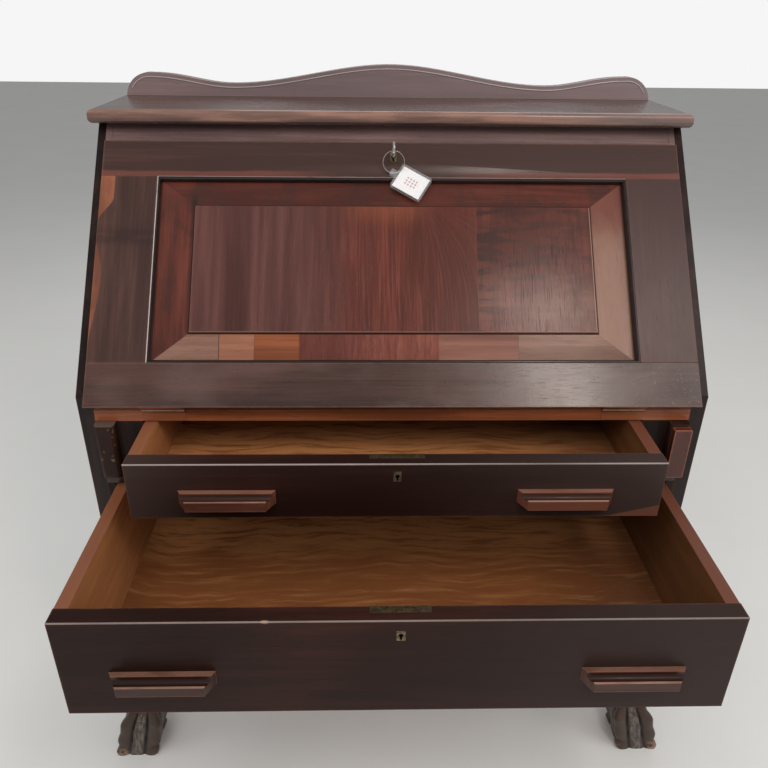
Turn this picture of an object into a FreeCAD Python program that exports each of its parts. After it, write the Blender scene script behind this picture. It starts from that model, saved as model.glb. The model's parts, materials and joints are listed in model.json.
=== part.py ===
# Fall-front bureau on cabriole legs with claw feet. Millimetres, +Z up, front towards -Y.
# The origin is on the floor, midway between the open lower drawer's pulls and the back of the case.
import FreeCAD, Part
import Sketcher
import math
import os
import re

# Driving sizes: name, value, meaning.
SIZES = [
    ("case_width", 915, "width over the two sides"),
    ("case_depth", 462, "front of the sides to the back panel"),
    ("side_thick", 22, "side boards"),
    ("back_thick", 8, "back panel"),
    ("leg_height", 395, "floor to the underside of the case"),
    ("bottom_rail_height", 24, "rail under the lower drawer"),
    ("bottom_board_thick", 12, "board that the lower drawer runs on"),
    ("rail_depth", 60, "front to back of the rails"),
    ("rail_height", 18, "rail between the drawers"),
    ("stile_depth", 20, "front to back of the stiles"),
    ("partition_thick", 18, "upright between loper and top drawer"),
    ("runner_width", 95, "runners behind the drawer rail"),
    ("guide_height", 25, "strips that keep the drawers straight"),
    ("guide_clear", 0.5, "drawer side to its guide"),
    ("desk_thick", 18, "writing board inside the fall"),
    ("knee_rise", 21, "knee of the sides above the writing board"),
    ("slope", 40, "lean of the fall from upright, in degrees"),
    ("fascia_height", 33, "rail over the fall, along the slope"),
    ("fascia_thick", 20, "rail over the fall"),
    ("top_thick", 21, "top board"),
    ("top_overhang", 9, "top board past each side"),
    ("top_nose", 24, "top board past the slope's upper end"),
    ("nose_round", 8, "rounding of the top board's edge"),
    ("gallery_thick", 18, "shaped board at the back of the top"),
    ("gallery_margin", 9, "end of the gallery to the end of the top"),
    ("gallery_hump", 53, "middle of the gallery above the top"),
    ("gallery_dip", 21, "dips of the gallery above the top"),
    ("gallery_end", 37, "end humps of the gallery above the top"),
    ("gallery_dip_inset", 185.5, "end of the gallery to each dip"),
    ("gallery_end_inset", 46.5, "end of the gallery to each end hump"),
    ("fall_margin", 12.5, "side seen outside the fall's lip"),
    ("fall_length", 419.5, "hinge axis to the fall's top edge"),
    ("fall_thick", 18, "fall frame"),
    ("fall_gap", 1.5, "top edge of the fall to the fascia"),
    ("fall_clear", 1, "fall body to the inside of each side"),
    ("lip_clear", 0.3, "back of the lip to the slope of the sides"),
    ("fall_rail_low", 66, "bottom rail of the fall"),
    ("fall_rail_high", 59.5, "top rail of the fall"),
    ("fall_stile_width", 85, "stiles of the fall"),
    ("panel_rebate", 8, "overlap of the frame on the panel"),
    ("panel_edge", 8, "thin edge of the panel in its rebate"),
    ("panel_thick", 12, "panel where the border meets the field"),
    ("field_rise", 4, "raised field above the border"),
    ("field_bevel", 3, "sloping edge of the field"),
    ("border_side", 57, "border beside the field"),
    ("border_low", 44, "border under the field"),
    ("border_high", 45, "border over the field"),
    ("hinge_gap", 1, "fall to writing board when open"),
    ("hinge_length", 62, "butt hinges"),
    ("hinge_inset", 99.5, "end of the fall's body to the middle of a hinge"),
    ("leaf_thick", 1.6, "hinge leaf"),
    ("leaf_width", 17, "hinge leaf"),
    ("leaf_gap", 0.1, "between the leaves when open"),
    ("knuckle_radius", 3, "hinge knuckle"),
    ("knuckle_length", 20, "middle knuckle"),
    ("knuckle_gap", 0.3, "between knuckles"),
    ("knuckle_clear", 0.5, "wood to knuckle"),
    ("pin_radius", 1.2, "hinge pin"),
    ("pin_clear", 0.05, "hinge pin in its bore"),
    ("lock_width", 76, "locks"),
    ("lock_depth", 11, "locks"),
    ("lock_height", 36, "locks"),
    ("bolt_width", 36, "lock bolts"),
    ("bolt_thick", 5, "lock bolts"),
    ("bolt_height", 11, "lock bolts"),
    ("bolt_throw", 7, "travel of a lock bolt"),
    ("bolt_clear", 0.3, "lock bolt in its slot"),
    ("mortise_clear", 1, "lock bolt in its mortise"),
    ("keyhole_radius", 3, "round of a keyhole"),
    ("keyhole_slot", 2.6, "width of a keyhole's slot"),
    ("keyhole_tail", 7, "slot under the round of a keyhole"),
    ("plate_width", 11, "keyhole plates"),
    ("plate_height", 16, "keyhole plates"),
    ("plate_thick", 1.5, "keyhole plates"),
    ("plate_proud", 0.4, "keyhole plates above the wood"),
    ("fall_keyhole_drop", 25, "top edge of the fall to its keyhole"),
    ("key_radius", 2.6, "key shank"),
    ("key_shank", 10, "shank seen in front of the fall"),
    ("key_inside", 1.5, "key's end to the inside of the fall"),
    ("bit_reach", 6, "key bit"),
    ("bit_thick", 2.2, "key bit"),
    ("bit_length", 5, "key bit along the shank"),
    ("bit_clear", 0.6, "key bit in the lock"),
    ("bow_radius", 12, "key bow"),
    ("bow_hole", 6.5, "hole in the bow"),
    ("bow_thick", 3, "key bow"),
    ("ring_radius", 16.5, "split ring"),
    ("ring_wire", 1.2, "radius of the split ring's wire"),
    ("ring_clear", 0.6, "split ring in the fob"),
    ("ring_drop", 2, "ring under the middle of the bow's hole"),
    ("fob_length", 52, "clear fob"),
    ("fob_width", 42, "clear fob"),
    ("fob_thick", 6.4, "clear fob"),
    ("fob_tab", 10, "tab that holds the ring"),
    ("fob_gap", 0.5, "fob to the face of the fall"),
    ("fob_round", 4, "corners of the fob"),
    ("fob_turn", 31, "fob below level, in degrees"),
    ("card_length", 46, "card in the fob"),
    ("card_width", 37, "card in the fob"),
    ("card_thick", 0.8, "card in the fob"),
    ("card_clear", 0.1, "card in its slot"),
    ("drawer_gap", 1.5, "gap round a drawer front"),
    ("run_gap", 0.3, "drawer or loper above its runner"),
    ("front_thick", 25, "drawer fronts"),
    ("drawer_length", 430, "drawers, front to back"),
    ("drawer_side_thick", 18, "drawer sides"),
    ("side_inset", 1, "drawer side behind the end of its front"),
    ("drawer_back_thick", 16, "drawer backs"),
    ("back_drop", 10, "drawer back below the sides"),
    ("drawer_bottom_thick", 6, "drawer bottoms"),
    ("bottom_rise", 10, "drawer bottom above the sides' lower edge"),
    ("groove_depth", 6, "groove for the drawer bottom"),
    ("stile_width", 39, "stiles beside the top drawer"),
    ("top_front_height", 88, "top drawer front"),
    ("top_out", 112, "top drawer pulled out by this much"),
    ("top_keyhole_drop", 20, "top edge to the keyhole"),
    ("top_pull_inset", 134.5, "end of the front to each top pull's middle"),
    ("top_pull_drop", 41.5, "top edge to the top pulls"),
    ("lower_stile_width", 12, "stiles beside the lower drawer"),
    ("lower_front_height", 156, "lower drawer front"),
    ("lower_out", 284, "lower drawer pulled out by this much"),
    ("lower_keyhole_drop", 24, "top edge to the keyhole"),
    ("lower_pull_inset", 127.5, "end of the front to each lower pull's middle"),
    ("lower_pull_drop", 81.5, "top edge to the lower pulls"),
    ("pull_length", 132, "bar pulls"),
    ("pull_proud", 20, "bar pulls in front of the drawer"),
    ("pull_height", 21.5, "bar pulls"),
    ("pull_taper", 12, "slant of each end of a pull"),
    ("cove_radius", 5.5, "hollow along the top of a pull"),
    ("cove_out", 13, "middle of the hollow from the drawer front"),
    ("cove_down", 3, "middle of the hollow below the ridge of a pull"),
    ("pull_lip_drop", 6, "lip of a pull below its ridge"),
    ("loper_width", 28.5, "slides that carry the open fall"),
    ("loper_length", 390, "slides that carry the open fall"),
    ("loper_proud", 14, "loper in front of the case"),
    ("loper_clear", 0.5, "loper to the wood beside it"),
    ("loper_headroom", 0.4, "loper under the writing board"),
    ("loper_round", 6, "front corners of a loper"),
    ("facing_width", 26, "facing on the right loper"),
    ("facing_height", 83, "facing on the right loper"),
    ("facing_thick", 11, "facing on the right loper"),
    ("facing_drop", 3, "facing below the top of the loper"),
    ("shelf_rise", 95, "lower pigeonhole shelf above the writing board"),
    ("shelf_thick", 10, "pigeonhole shelves"),
    ("shelf_depth", 150, "pigeonhole shelves"),
    ("pigeonhole_headroom", 91, "room over the pigeonholes"),
    ("divider_thick", 8, "pigeonhole dividers"),
    ("divider_hollow", 45, "scoop in the front of a divider"),
    ("pigeonhole_count", 5, "pigeonholes in the row"),
    ("post_size", 54, "square block at the top of a leg"),
    ("post_height", 46, "square block at the top of a leg"),
    ("post_round", 6, "corners of the block"),
    ("knee_half", 32, "half width of the leg at its knee"),
    ("knee_out", 13, "knee outwards of the block"),
    ("ankle_half", 16, "half width of the leg at its ankle"),
    ("ankle_out", 14, "ankle outwards of the block"),
    ("foot_out", 46, "middle of the foot outwards of the block"),
    ("foot_lean", 0.25, "foot inwards for each millimetre of height"),
    ("foot_height", 84, "foot up to the ankle"),
    ("foot_half", 38, "half width of the foot"),
    ("claw_height", 9, "claw above the corner of the foot"),
]

# Sizes that follow from the driving ones, as formulas between the named cells.
DERIVED = [
    ("front_y", "(lower_out + pull_proud - case_depth) / 2", "front of the case"),
    ("back_y", "front_y + case_depth", "back of the case"),
    ("inner_half", "case_width / 2 - side_thick", "middle to the inside of a side"),
    ("lower_floor", "leg_height + bottom_rail_height", "under the lower drawer"),
    ("rail_under", "lower_floor + lower_front_height + 2 * drawer_gap", "underside of the drawer rail"),
    ("top_floor", "rail_under + rail_height", "under the top drawer"),
    ("desk_under", "top_floor + top_front_height + 2 * drawer_gap", "underside of the writing board"),
    ("desk_top", "desk_under + desk_thick", "top of the writing board, level of the hinge axis"),
    ("knee", "desk_top + knee_rise", "where the slope of the sides starts"),
    ("axis_y", "front_y - hinge_gap / 2", "hinge axis"),
    ("inset", "knee_rise * sin(slope) - hinge_gap / 2 * cos(slope)", "inside of the fall behind the slope"),
    ("slope_top", "fall_length + fall_gap + fascia_height", "top of the case along the slope"),
    ("case_top", "desk_top + inset * sin(slope) + slope_top * cos(slope)", "underside of the top board"),
    ("slope_y", "front_y + (case_top - knee) * tan(slope)", "slope's upper end"),
    ("fall_foot", "hinge_gap / 2", "bottom edge of the fall above the axis"),
    ("opening_low", "fall_foot + fall_rail_low", "foot of the fall's panel opening"),
    ("opening_high", "fall_length - fall_rail_high", "head of the fall's panel opening"),
    ("fall_width", "case_width - 2 * fall_margin", "fall over its lips"),
    ("opening_half", "fall_width / 2 - fall_stile_width", "half width of the panel opening"),
    ("body_half", "inner_half - fall_clear", "half width of the fall between the sides"),
    ("hinge_reach", "body_half - hinge_inset", "middle to each hinge"),
    ("lip_back", "inset + lip_clear", "depth of the fall behind its lip"),
    ("keyhole_up", "fall_length - fall_keyhole_drop", "keyhole of the fall above the axis"),
    ("stile_outer", "inner_half - loper_width - 2 * loper_clear", "loper side of a stile"),
    ("stile_inner", "stile_outer - stile_width", "drawer side of a stile"),
    ("top_front_width", "2 * (stile_inner - drawer_gap)", "top drawer front"),
    ("top_pull_reach", "top_front_width / 2 - top_pull_inset", "middle to each top pull"),
    ("lower_front_width", "2 * (inner_half - lower_stile_width - drawer_gap)", "lower drawer front"),
    ("lower_pull_reach", "lower_front_width / 2 - lower_pull_inset", "middle to each lower pull"),
    ("guide_start", "front_y + front_thick + guide_clear", "front end of the drawer guides"),
    ("pigeonhole_foot", "desk_top + shelf_rise + shelf_thick", "floor of the pigeonholes"),
    ("pigeonhole_height", "case_top - pigeonhole_headroom - shelf_thick - pigeonhole_foot", "pigeonholes"),
    ("inside_back", "back_y - back_thick", "front of the back panel"),
    ("bolt_back", "(lock_depth + bolt_thick) / 2", "front of a bolt to the back of its lock"),
    ("knuckle_end", "(hinge_length - knuckle_length) / 2 - knuckle_gap", "end knuckle"),
]

doc = FreeCAD.newDocument("bureau")
sheet = doc.addObject("Spreadsheet::Sheet", "Dims")
FORMULAS = [(name, "=" + formula, meaning) for name, formula, meaning in DERIVED]
for row, (name, entry, meaning) in enumerate(SIZES + FORMULAS, start=1):
    sheet.set(f"A{row}", meaning)
    sheet.set(f"B{row}", str(entry))
    sheet.setAlias(f"B{row}", name)
doc.recompute()

NAMES = {name for name, entry, meaning in SIZES + DERIVED}
WORD = re.compile(r"[a-z][a-z0-9_]*")
SKETCH_START = 100
RING_FACETS = 6
LEG_FACETS = 24
FOOT_SQUARENESS = 3.2
SHAFT_SQUARENESS = 3.0
CLAW_SPREAD = 0.26
CLAW_GROOVE = 0.25
CLAW_REACH = 1.06
UPRIGHT = FreeCAD.Vector(0, 0, 1)
OUTWARDS = FreeCAD.Vector(1, 1, 0).normalize()
nodes = []


def dim(name):
    """A cell's value."""
    return float(sheet.get(name))


def bound(text):
    """A formula in cell names, written for an object of the document."""
    return WORD.sub(lambda word: "Dims." + word.group() if word.group() in NAMES else word.group(), text)


def node(part):
    """Lists a finished sub-part."""
    nodes.append(part)
    return part


def on_fall(corner):
    """A place given across, inwards and up from the hinge axis, on the closed fall."""
    across, inwards, up = corner
    return (across,
            f"axis_y + ({inwards}) * cos(slope) + ({up}) * sin(slope)",
            f"desk_top - ({inwards}) * sin(slope) + ({up}) * cos(slope)")


def place(part, corner, axis=None, angle=None):
    """Binds a part's place, and its turn about one axis."""
    if axis:
        part.Placement = FreeCAD.Placement(FreeCAD.Vector(), FreeCAD.Rotation(FreeCAD.Vector(*axis), 1))
        part.setExpression("Placement.Rotation.Angle", bound(angle))
    for letter, text in zip("xyz", corner):
        part.setExpression("Placement.Base." + letter, bound(text))


def put(part, corner, leaning):
    """Places a part in the case, or leaning on the closed fall."""
    if leaning:
        place(part, on_fall(corner), (-1, 0, 0), "slope")
    else:
        place(part, corner)


def board(label, sizes, corner, leaning=False):
    """A square-edged board."""
    part = doc.addObject("Part::Box", label)
    for name, text in zip(("Length", "Width", "Height"), sizes):
        part.setExpression(name, bound(text))
    put(part, corner, leaning)
    return part


def rod(label, radius, length, start, axis, angle):
    """A round bar from a start point, its upright axis turned about another."""
    part = doc.addObject("Part::Cylinder", label)
    part.setExpression("Radius", bound(radius))
    part.setExpression("Height", bound(length))
    place(part, start, axis, angle)
    return part


def rod_across(label, radius, length, start):
    """A round bar along X."""
    return rod(label, radius, length, start, (0, 1, 0), "90")


def rod_out(label, radius, length, start):
    """A round bar towards the front."""
    return rod(label, radius, length, start, (1, 0, 0), "90")


def rod_out_of_fall(label, radius, length, start):
    """A round bar square to the closed fall, outwards."""
    return rod(label, radius, length, on_fall(start), (1, 0, 0), "90 - slope")


def joined(label, parts):
    """Several shapes made one solid."""
    part = doc.addObject("Part::MultiFuse", label)
    part.Shapes = parts
    return part


def cut(label, base, tools):
    """A shape with others taken out of it."""
    part = doc.addObject("Part::Cut", label)
    part.Base = base
    part.Tool = tools[0] if len(tools) == 1 else joined(label + "_tools", tools)
    return part


def grouped(label, parts):
    """Separate solids that share a node."""
    part = doc.addObject("Part::Compound", label)
    part.Links = parts
    return part


def mirrored_x(sign, inner, width):
    """The lower X of a piece that starts at a distance from the middle, on either side."""
    return inner if sign > 0 else f"-({inner}) - ({width})"


def prism(label, plane, outline, length, corner=("0", "0", "0"), leaning=False):
    """A straight-sided outline on an origin plane, padded."""
    body = doc.addObject("PartDesign::Body", label)
    support = next(item for item in body.Origin.OriginFeatures if item.Role == plane)
    sketch = body.newObject("Sketcher::SketchObject", label + "_outline")
    sketch.AttachmentSupport = [(support, "")]
    sketch.MapMode = "FlatFace"
    count = len(outline)
    turns = [2 * math.pi * number / count for number in range(count)]
    start = [FreeCAD.Vector(math.cos(turn), math.sin(turn), 0) * SKETCH_START for turn in turns]
    for number in range(count):
        sketch.addGeometry(Part.LineSegment(start[number], start[(number + 1) % count]))
    for number in range(count):
        sketch.addConstraint(Sketcher.Constraint("Coincident", number, 2, (number + 1) % count, 1))
    for number, point in enumerate(outline):
        for kind, text, value in zip(("DistanceX", "DistanceY"), point, start[number]):
            index = sketch.addConstraint(Sketcher.Constraint(kind, -1, 1, number, 1, value))
            sketch.setExpression(f"Constraints[{index}]", bound(text))
    pad = body.newObject("PartDesign::Pad", label + "_pad")
    pad.Profile = sketch
    pad.setExpression("Length", bound(length))
    put(body, corner, leaning)
    return body


def rounded(label, base, radius, chosen):
    """A shape with the chosen edges rounded; an edge is chosen by its middle point."""
    doc.recompute()
    part = doc.addObject("Part::Fillet", label)
    part.Base = base
    edges = enumerate(base.Shape.Edges, start=1)
    part.Edges = [(number, radius, radius) for number, edge in edges if chosen(edge.CenterOfMass)]
    return part


def free_form(label, shape, placement=FreeCAD.Placement()):
    """A shape made by hand."""
    part = doc.addObject("Part::Feature", label)
    part.Shape = shape
    part.Placement = placement
    return part


def keyhole_tools(label, drop_from, face, reach):
    """The round and the slot of a drawer's keyhole."""
    back = f"{face} + {reach}"
    round_part = rod_out(label + "_round", "keyhole_radius", f"{reach} + plate_thick", ("0", back, drop_from))
    slot = board(label + "_slot", ("keyhole_slot", f"{reach} + plate_thick", "keyhole_tail"),
                 ("-keyhole_slot / 2", f"{face} - plate_thick", f"{drop_from} - keyhole_tail"))
    return [round_part, slot]


SIDES = (("left", -1), ("right", 1))
MORTISE = ("bolt_width + 2 * mortise_clear", "bolt_thick + 2 * mortise_clear", "bolt_throw + mortise_clear")
BOLT_SLOT = ("bolt_width + 2 * bolt_clear", "bolt_thick + 2 * bolt_clear", "bolt_height + 2 * bolt_clear")
LOCK = ("lock_width", "lock_depth", "lock_height")


def case():
    """Sides, top, back, writing board, rails, stiles, partitions, runners and guides."""
    profile = [("front_y", "leg_height"), ("back_y", "leg_height"), ("back_y", "case_top"),
               ("slope_y", "case_top"), ("front_y", "knee")]
    for side, sign in SIDES:
        x = mirrored_x(sign, "inner_half", "side_thick")
        node(prism("side_" + side, "YZ_Plane", profile, "side_thick", (x, "0", "0")))

    top = board("top_blank", ("case_width + 2 * top_overhang", "back_y - slope_y + top_nose", "top_thick"),
                ("-case_width / 2 - top_overhang", "slope_y - top_nose", "case_top"))
    doc.recompute()
    box = top.Shape.BoundBox
    middle_z = (box.ZMin + box.ZMax) / 2
    nose = min(dim("nose_round"), 0.49 * dim("top_thick"))
    node(rounded("top_board", top, nose,
                 lambda point: abs(point.z - middle_z) > 1 and point.y < box.YMax - 1))

    inner = "2 * inner_half"
    node(board("back_panel", (inner, "back_thick", "case_top - leg_height"),
               ("-inner_half", "inside_back", "leg_height")))

    desk = board("desk_blank", (inner, "inside_back - front_y", "desk_thick"),
                 ("-inner_half", "front_y", "desk_under"))
    recesses = []
    for side, sign in SIDES:
        start = mirrored_x(sign, "hinge_reach - hinge_length / 2", "hinge_length")
        recesses.append(board(f"desk_recess_{side}",
                              ("hinge_length", "leaf_thick - hinge_gap / 2 + leaf_gap / 2", "leaf_width"),
                              (start, "front_y", "desk_top - leaf_width")))
        recesses.append(rod_across(f"desk_groove_{side}", "knuckle_radius + knuckle_clear", "hinge_length",
                                   (start, "axis_y", "desk_top")))
    recesses.append(mortise("top", "desk_under"))
    node(cut("desk_board", desk, recesses))

    rail = board("rail_blank", (inner, "rail_depth", "rail_height"), ("-inner_half", "front_y", "rail_under"))
    node(cut("drawer_rail", rail, [mortise("lower", "rail_under")]))
    node(board("bottom_rail", (inner, "rail_depth", "bottom_rail_height"),
               ("-inner_half", "front_y", "leg_height")))
    node(board("bottom_board", (inner, "inside_back - front_y - rail_depth", "bottom_board_thick"),
               ("-inner_half", "front_y + rail_depth", "lower_floor - bottom_board_thick")))

    behind = "inside_back - front_y - stile_depth"
    lower_stiles = []
    runners = []
    guides = []
    for side, sign in SIDES:
        node(board("stile_" + side, ("stile_width", "stile_depth", "desk_under - top_floor"),
                   (mirrored_x(sign, "stile_inner", "stile_width"), "front_y", "top_floor")))
        start = mirrored_x(sign, "stile_outer - partition_thick", "partition_thick")
        node(board("partition_" + side, ("partition_thick", behind, "desk_under - top_floor"),
                   (start, "front_y + stile_depth", "top_floor")))
        start = mirrored_x(sign, "inner_half - lower_stile_width", "lower_stile_width")
        lower_stiles.append(board("lower_stile_" + side,
                                  ("lower_stile_width", "stile_depth", "rail_under - lower_floor"),
                                  (start, "front_y", "lower_floor")))
        start = mirrored_x(sign, "inner_half - runner_width", "runner_width")
        runners.append(board("runner_" + side,
                             ("runner_width", "inside_back - front_y - rail_depth", "rail_height"),
                             (start, "front_y + rail_depth", "rail_under")))
        for drawer_name, limit, floor in (("top", "stile_outer - partition_thick", "top_floor"),
                                          ("lower", "inner_half", "lower_floor")):
            first = f"{drawer_name}_front_width / 2 - side_inset + guide_clear"
            width = f"{limit} - ({first})"
            guides.append(board(f"guide_{drawer_name}_{side}",
                                (width, "inside_back - guide_start", "guide_height"),
                                (mirrored_x(sign, first, width), "guide_start", floor)))
    node(grouped("lower_stiles", lower_stiles))
    node(grouped("drawer_runners", runners))
    node(grouped("drawer_guides", guides))

    # The fascia lies in the slope of the sides and is cut level under the top board.
    foot = on_fall(("0", "-inset", "fall_length + fall_gap"))
    foot_back = on_fall(("0", "fascia_thick - inset", "fall_length + fall_gap"))
    outline = [foot[1:], ("slope_y", "case_top"),
               ("slope_y + fascia_thick / cos(slope)", "case_top"), foot_back[1:]]
    fascia = prism("fascia_blank", "YZ_Plane", outline, inner, ("-inner_half", "0", "0"))
    corner = ("-bolt_width / 2 - mortise_clear", "-bolt_back - mortise_clear", "fall_length + fall_gap")
    node(cut("fascia_rail", fascia, [board("fascia_mortise", MORTISE, corner, True)]))


def mortise(drawer_name, under):
    """The pocket that a drawer's bolt enters when the drawer is shut."""
    front = "front_y + front_thick - bolt_back - mortise_clear"
    return board(drawer_name + "_mortise", MORTISE, ("-bolt_width / 2 - mortise_clear", front, under))


def gallery():
    """The serpentine board that stands on the back of the top."""
    half = dim("case_width") / 2 + dim("top_overhang") - dim("gallery_margin")
    foot = dim("case_top") + dim("top_thick")
    end = dim("gallery_end")
    end_reach = half - dim("gallery_end_inset")
    dip_reach = half - dim("gallery_dip_inset")
    tops = [(-end_reach, end), (-dip_reach, dim("gallery_dip")), (0, dim("gallery_hump")),
            (dip_reach, dim("gallery_dip")), (end_reach, end)]
    level = FreeCAD.Vector(1, 0, 0)
    points = [FreeCAD.Vector(x, 0, foot + height) for x, height in tops]
    curve = Part.BSplineCurve()
    curve.interpolate(Points=points, Tangents=[level] * len(points), TangentFlags=[True] * len(points))
    edges = [curve.toShape()]
    low = [FreeCAD.Vector(half, 0, foot), FreeCAD.Vector(-half, 0, foot)]
    # Each end turns down in a quarter ellipse-like arc to a short upright.
    drop = end - min(end, half - end_reach)
    corner = half - end_reach
    for sign in (1, -1):
        head = FreeCAD.Vector(sign * end_reach, 0, foot + end)
        tail = FreeCAD.Vector(sign * half, 0, foot + drop)
        bend = math.sqrt(0.5)
        middle = FreeCAD.Vector(sign * (end_reach + corner * bend), 0, foot + drop + (end - drop) * bend)
        edges.append(Part.Arc(head, middle, tail).toShape())
        if drop > 0:
            edges.append(Part.makeLine(tail, FreeCAD.Vector(sign * half, 0, foot)))
    edges.append(Part.makeLine(*low))
    wire = Part.Wire(Part.__sortEdges__(edges))
    shape = Part.Face(wire).extrude(FreeCAD.Vector(0, dim("gallery_thick"), 0))
    front = FreeCAD.Vector(0, dim("back_y") - dim("gallery_thick"), 0)
    node(free_form("gallery", shape, FreeCAD.Placement(front, FreeCAD.Rotation())))


def pigeonholes():
    """Two shelves with scooped dividers between them, across the back of the desk."""
    width = "2 * inner_half"
    front = "inside_back - shelf_depth"
    levels = (("pigeonhole_shelf", "pigeonhole_foot - shelf_thick"),
              ("pigeonhole_top", "pigeonhole_foot + pigeonhole_height"))
    for label, level in levels:
        node(board(label, (width, "shelf_depth", "shelf_thick"), ("-inner_half", front, level)))
    dividers = []
    count = int(dim("pigeonhole_count"))
    for number in range(1, count):
        start = f"-inner_half + {number} * {width} / {count} - divider_thick / 2"
        blank = board(f"divider_blank_{number}", ("divider_thick", "shelf_depth", "pigeonhole_height"),
                      (start, front, "pigeonhole_foot"))
        scoop = rod_across(f"divider_scoop_{number}", "divider_hollow", "divider_thick",
                           (start, front, "pigeonhole_foot + pigeonhole_height / 2"))
        dividers.append(cut(f"divider_{number}", blank, [scoop]))
    node(grouped("pigeonhole_dividers", dividers))


def fall():
    """The frame, the fielded panel and the lock of the fall, all leaning on the closed slope."""
    lip_width = "fall_width / 2 - body_half"
    rails = (("bottom", "fall_foot", "fall_rail_low"), ("top", "opening_high", "fall_rail_high"))
    for name, foot, height in rails:
        label = "fall_rail_" + name
        blank = board(label + "_blank", ("fall_width", "fall_thick", height),
                      ("-fall_width / 2", "-fall_thick", foot), True)
        tools = []
        for side, sign in SIDES:
            tools.append(board(f"{label}_lip_{side}", (lip_width, "lip_back", height),
                               (mirrored_x(sign, "body_half", lip_width), "-lip_back", foot), True))
        level = "opening_low - panel_rebate" if name == "bottom" else "opening_high"
        tools.append(board(label + "_rebate",
                           ("2 * (opening_half + panel_rebate)", "panel_edge", "panel_rebate"),
                           ("-opening_half - panel_rebate", "-panel_edge", level), True))
        tools += hinge_recesses() if name == "bottom" else fall_lock_recesses()
        node(cut(label, blank, tools))

    for side, sign in SIDES:
        section = [("opening_half", "-fall_thick"), ("fall_width / 2", "-fall_thick"),
                   ("fall_width / 2", "-lip_back"), ("body_half", "-lip_back"), ("body_half", "0"),
                   ("opening_half + panel_rebate", "0"), ("opening_half + panel_rebate", "-panel_edge"),
                   ("opening_half", "-panel_edge")]
        outline = [(x if sign > 0 else f"-({x})", y) for x, y in section]
        node(prism("fall_stile_" + side, "XY_Plane", outline, "opening_high - opening_low",
                   ("0", "0", "opening_low"), True))

    height = "opening_high - opening_low + 2 * panel_rebate"
    plate = board("panel_plate", ("2 * (opening_half + panel_rebate)", "panel_edge", height),
                  ("-opening_half - panel_rebate", "-panel_edge", "opening_low - panel_rebate"), True)
    opening = ("-opening_half", "opening_half", "opening_low", "opening_high")
    foot = ("-opening_half + border_side", "opening_half - border_side",
            "opening_low + border_low", "opening_high - border_high")
    head = [edge + sign + "field_bevel" for edge, sign in zip(foot, (" + ", " - ", " + ", " - "))]
    border = slope_block("panel_border", opening, "-panel_edge", foot, "-panel_thick")
    field = slope_block("panel_field", foot, "-panel_thick", head, "-panel_thick - field_rise")
    node(joined("fall_panel", [plate, border, field]))


def slope_block(label, inner, inner_level, outer, outer_level):
    """A block on the fall with sloping sides, from an inner rectangle out to a smaller one."""
    part = doc.addObject("Part::Wedge", label)
    edges = dict(zip(("Xmin", "Xmax", "Zmin", "Zmax"), outer))
    edges.update(zip(("X2min", "X2max", "Z2min", "Z2max"), inner))
    edges.update(Ymin=outer_level, Ymax=inner_level)
    for name, text in edges.items():
        part.setExpression(name, bound(text))
    put(part, ("0", "0", "0"), True)
    return part


def hinge_recesses():
    """Beds of the hinge leaves and knuckles in the fall's bottom edge."""
    tools = []
    for side, sign in SIDES:
        start = mirrored_x(sign, "hinge_reach - hinge_length / 2", "hinge_length")
        tools.append(board(f"fall_recess_{side}",
                           ("hinge_length", "leaf_width", "leaf_thick + leaf_gap / 2 - fall_foot"),
                           (start, "-leaf_width", "fall_foot"), True))
        tools.append(rod_across(f"fall_groove_{side}", "knuckle_radius + knuckle_clear", "hinge_length",
                                (start, "axis_y", "desk_top")))
    return tools


def fall_lock_recesses():
    """Bed of the lock, keyhole and plate in the fall's top rail."""
    pocket = board("fall_lock_pocket", LOCK,
                   ("-lock_width / 2", "-lock_depth", "fall_length - lock_height"), True)
    plate = board("fall_plate_pocket", ("plate_width", "plate_thick - plate_proud", "plate_height"),
                  ("-plate_width / 2", "-fall_thick", "keyhole_up - plate_height / 2"), True)
    return [pocket, plate] + fall_keyhole("fall_rail")


def fall_keyhole(label):
    """The round and the slot that the key passes, right through the fall."""
    length = "fall_thick + plate_thick"
    hole = rod_out_of_fall(label + "_hole", "keyhole_radius", length, ("0", "0", "keyhole_up"))
    slot = board(label + "_slot", ("keyhole_slot", length, "keyhole_tail"),
                 ("-keyhole_slot / 2", f"-({length})", "keyhole_up - keyhole_tail"), True)
    return [hole, slot]


def fall_lock():
    """Lock case, bolt and keyhole plate of the fall."""
    blank = board("fall_lock_blank", LOCK,
                  ("-lock_width / 2", "-lock_depth", "fall_length - lock_height"), True)
    corner = ("-bolt_width / 2 - bolt_clear", "-bolt_back - bolt_clear",
              "fall_length - bolt_height - 2 * bolt_clear")
    slot = board("fall_lock_slot", BOLT_SLOT, corner, True)
    hole = rod_out_of_fall("fall_lock_hole", "keyhole_radius", "lock_depth", ("0", "0", "keyhole_up"))
    room = rod_out_of_fall("fall_lock_room", "bit_reach + bit_clear", "lock_depth - key_inside",
                           ("0", "-key_inside", "keyhole_up"))
    node(cut("fall_lock", blank, [slot, hole, room]))
    node(board("fall_bolt", ("bolt_width", "bolt_thick", "bolt_height"),
               ("-bolt_width / 2", "-bolt_back", "fall_length - bolt_height - bolt_clear"), True))
    plate = board("fall_plate_blank", ("plate_width", "plate_thick", "plate_height"),
                  ("-plate_width / 2", "-fall_thick - plate_proud", "keyhole_up - plate_height / 2"), True)
    node(cut("fall_keyhole_plate", plate, fall_keyhole("fall_plate")))


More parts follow.
